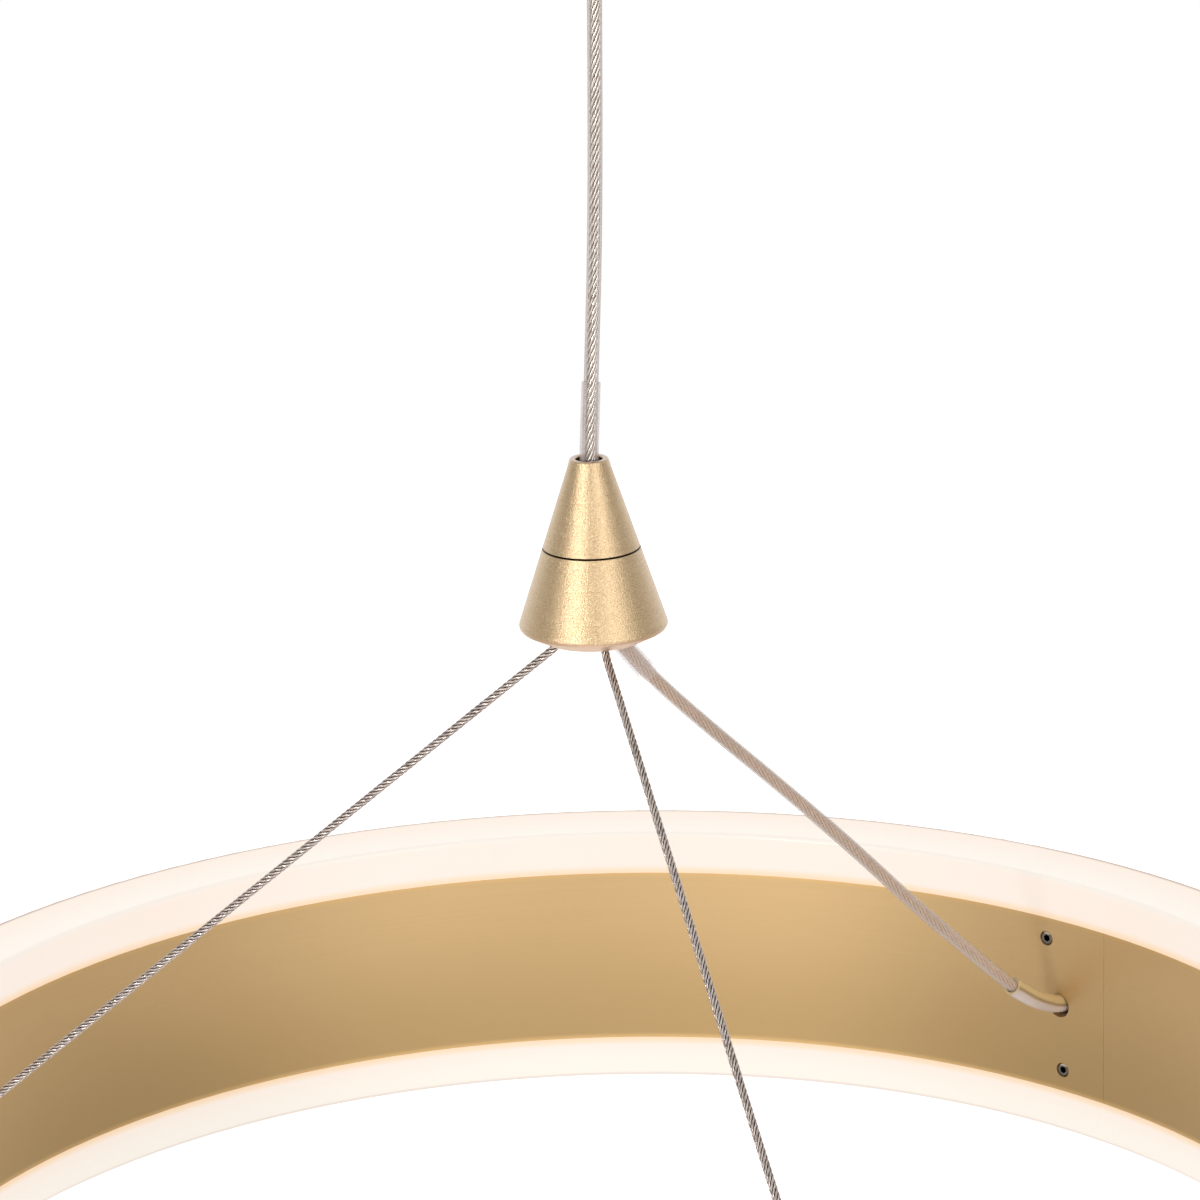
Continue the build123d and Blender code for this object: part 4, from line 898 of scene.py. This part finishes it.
def screw_places_tree():
    """Sets copies of a screw round the ring, in an upper and a lower row, each facing the axis."""
    tree = bpy.data.node_groups.new("screws round the ring", "GeometryNodeTree")
    sockets = tree.interface
    sockets.new_socket("Screw", in_out="INPUT", socket_type="NodeSocketGeometry")
    numbers = {
        "Axis X": HANG_X * MM, "Middle Z": RING_MIDDLE_Z * MM, "Radius": RING_INNER * MM,
        "Row Offset": SCREW_OFFSET * MM, "First Azimuth": radians(CABLE_AZIMUTH),
        "Upper Shift": radians(UPPER_SCREW_SHIFT), "Lower Shift": radians(LOWER_SCREW_SHIFT),
    }
    for label, value in numbers.items():
        socket = sockets.new_socket(label, in_out="INPUT", socket_type="NodeSocketFloat")
        socket.default_value = value
    places = sockets.new_socket("Places", in_out="INPUT", socket_type="NodeSocketInt")
    places.default_value = SCREW_PLACES
    sockets.new_socket("Finish", in_out="INPUT", socket_type="NodeSocketMaterial")
    sockets.new_socket("Screws", in_out="OUTPUT", socket_type="NodeSocketGeometry")
    given = tree.nodes.new("NodeGroupInput")
    result = tree.nodes.new("NodeGroupOutput")
    ring = put(tree, "GeometryNodeMeshCircle", {
        "Vertices": given.outputs["Places"], "Radius": given.outputs["Radius"],
    })
    rows = tree.nodes.new("GeometryNodeJoinGeometry")
    for sign, shift_name in ((1, "Upper Shift"), (-1, "Lower Shift")):
        z = reckon(tree, "MULTIPLY_ADD", given.outputs["Row Offset"], sign, given.outputs["Middle Z"])
        shift = put(tree, "ShaderNodeCombineXYZ", {0: given.outputs["Axis X"], 1: 0.0, 2: z})
        azimuth = reckon(tree, "ADD", given.outputs["First Azimuth"], given.outputs[shift_name])
        turn = put(tree, "ShaderNodeCombineXYZ", {0: 0.0, 1: 0.0, 2: azimuth})
        row = put(tree, "GeometryNodeTransform", {
            "Geometry": ring.outputs[0], "Translation": shift.outputs[0], "Rotation": turn.outputs[0],
        })
        tree.links.new(row.outputs[0], rows.inputs[0])
    spot = put(tree, "ShaderNodeSeparateXYZ", {0: tree.nodes.new("GeometryNodeInputPosition").outputs[0]})
    inward = put(tree, "ShaderNodeCombineXYZ", {
        0: reckon(tree, "SUBTRACT", given.outputs["Axis X"], spot.outputs[0]),
        1: reckon(tree, "MULTIPLY", spot.outputs[1], -1.0), 2: 0.0,
    })
    aim = put(tree, "FunctionNodeAlignRotationToVector", {"Vector": inward.outputs[0]}, axis="Z")
    copies = put(tree, "GeometryNodeInstanceOnPoints", {
        "Points": rows.outputs[0], "Instance": given.outputs["Screw"], "Rotation": aim.outputs[0],
    })
    real = put(tree, "GeometryNodeRealizeInstances", {0: copies.outputs[0]})
    coated = put(tree, "GeometryNodeSetMaterial", {0: real.outputs[0], "Material": given.outputs["Finish"]})
    tree.links.new(coated.outputs[0], result.inputs[0])
    return tree


def set_inputs(modifier, tree, values):
    """Sets a modifier's inputs by their sockets' identifiers."""
    for item in tree.interface.items_tree:
        if item.item_type == "SOCKET" and item.in_out == "INPUT" and item.name in values:
            modifier[item.identifier] = values[item.name]


def baked(source, name):
    """The plain mesh that an object's modifiers make."""
    graph = bpy.context.evaluated_depsgraph_get()
    data = bpy.data.meshes.new_from_object(source.evaluated_get(graph))
    bpy.data.objects.remove(source)
    made = bpy.data.objects.new(name, data)
    bpy.context.collection.objects.link(made)
    return made


def ring_screws():
    """The six set screws with their hexagon sockets."""
    pattern = object_of("set_screw", socket_screw_mesh())
    tree = screw_places_tree()
    modifier = pattern.modifiers.new("places", "NODES")
    modifier.node_group = tree
    set_inputs(modifier, tree, {"Radius": (RING_INNER + SCREW_RECESS) * MM, "Finish": SCREW_STEEL})
    screws = baked(pattern, "ring_set_screws")
    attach(screws, "light")
    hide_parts("ring_screws")


# --- Studio ---------------------------------------------------------------------------------------

# In metres, apart from the soft light's strength.
SOFT_LIGHT = 0.45
LAMPS_AIM = Vector((0, 0, -0.25))
FLOOR_Z = -1.25
FLOOR_RADIUS = 4
FLOOR_SIDES = 96


def world():
    """White to the camera and through clear pieces, a soft even light on the finishes, and in their gloss a
    room that is white behind, half as bright at the sides and a little brighter in front and below."""
    sky = bpy.data.worlds.new("studio")
    sky.use_nodes = True
    bpy.context.scene.world = sky
    tree = sky.node_tree
    path = tree.nodes.new("ShaderNodeLightPath")
    in_gloss = path.outputs["Is Glossy Ray"]
    ways = tree.nodes.new("ShaderNodeTexCoord").outputs["Generated"]
    way = put(tree, "ShaderNodeSeparateXYZ", {0: ways})
    back = between(tree, way.outputs[1], 0.15, 0.8, to_low=0.50)
    front = between(tree, way.outputs[1], -0.35, -0.9, to_high=0.25)
    low = between(tree, way.outputs[2], 0.0, -0.7, to_high=0.25)
    room = reckon(tree, "ADD", reckon(tree, "ADD", back, front), low)
    room = reckon(tree, "MINIMUM", room, 1.0)
    elsewhere = reckon(tree, "MULTIPLY", reckon(tree, "SUBTRACT", 1.0, in_gloss), SOFT_LIGHT)
    level = reckon(tree, "ADD", reckon(tree, "MULTIPLY", room, in_gloss), elsewhere)
    level = reckon(tree, "MAXIMUM", level, seen_by_eye(tree, path))
    background = tree.nodes["Background"]
    background.inputs["Color"].default_value = grey(1)
    tree.links.new(level, background.inputs["Strength"])


def seen_by_eye(tree, path):
    """1 for what the camera sees, straight or through a clear piece."""
    return reckon(tree, "MAXIMUM", path.outputs["Is Camera Ray"], path.outputs["Is Transmission Ray"])


def softbox(name, azimuth, rise, distance, width, height, level):
    """A soft lamp, placed by its direction from a point between the cone and the ring and turned to it."""
    data = bpy.data.lights.new(name, "AREA")
    data.shape = "RECTANGLE"
    data.size = width
    data.size_y = height
    data.energy = level * pi * width * height
    lamp = bpy.data.objects.new(name, data)
    flat = cos(radians(rise))
    way = Vector((sin(radians(azimuth)) * flat, -cos(radians(azimuth)) * flat, sin(radians(rise))))
    lamp.location = LAMPS_AIM + distance * way
    lamp.rotation_euler = way.to_track_quat("Z", "Y").to_euler()
    lamp.visible_camera = False
    bpy.context.collection.objects.link(lamp)


def floor():
    """A pale floor, white to the camera away from the hanging light's shadow, and in the gloss bright in
    front and behind."""
    mesh = bmesh.new()
    bmesh.ops.create_circle(mesh, cap_ends=True, segments=FLOOR_SIDES, radius=FLOOR_RADIUS)
    ground = object_of("floor", mesh)
    ground.data.transform(Matrix.Translation((0, 0, FLOOR_Z)))
    material, tree, shader, place = finish("pale_floor", grey(0.86), metallic=0.0, roughness=0.7)
    path = tree.nodes.new("ShaderNodeLightPath")
    split = put(tree, "ShaderNodeSeparateXYZ", {0: place.outputs["Object"]})
    far = from_axis(tree, split.outputs[0], split.outputs[1])
    away = between(tree, far, 0.5, 1.5, to_low=0.42)
    glow = reckon(tree, "MULTIPLY", seen_by_eye(tree, path), away)
    towards_back = reckon(tree, "DIVIDE", split.outputs[1], far)
    front = between(tree, towards_back, -0.3, -0.9, to_low=0.1, to_high=0.7)
    back = between(tree, towards_back, 0.2, 0.8, to_high=0.5)
    in_gloss = reckon(tree, "MULTIPLY", path.outputs["Is Glossy Ray"], reckon(tree, "ADD", front, back))
    glow = reckon(tree, "MAXIMUM", glow, in_gloss)
    shader.inputs["Emission Color"].default_value = grey(1)
    tree.links.new(glow, shader.inputs["Emission Strength"])
    ground.data.materials.append(material)


# --- The whole picture ----------------------------------------------------------------------------

camera()
world()
softbox("key_lamp", azimuth=-33.5, rise=13, distance=1.6, width=0.2, height=0.2, level=54)
softbox("left_softbox", azimuth=-37, rise=20, distance=1.6, width=0.8, height=1.5, level=0.5)
softbox("right_softbox", azimuth=36.5, rise=18, distance=1.6, width=0.8, height=1.0, level=2.4)
softbox("top_softbox", azimuth=0, rise=80, distance=1.5, width=1.2, height=1.2, level=0.6)
floor()
dress_construction()
steel_wire("left_wire", LEFT_WIRE_AZIMUTH)
steel_wire("front_wire", FRONT_WIRE_AZIMUTH)
main_cable()
feed_cable()
ring_screws()
bpy.context.scene.view_settings.view_transform = "Standard"
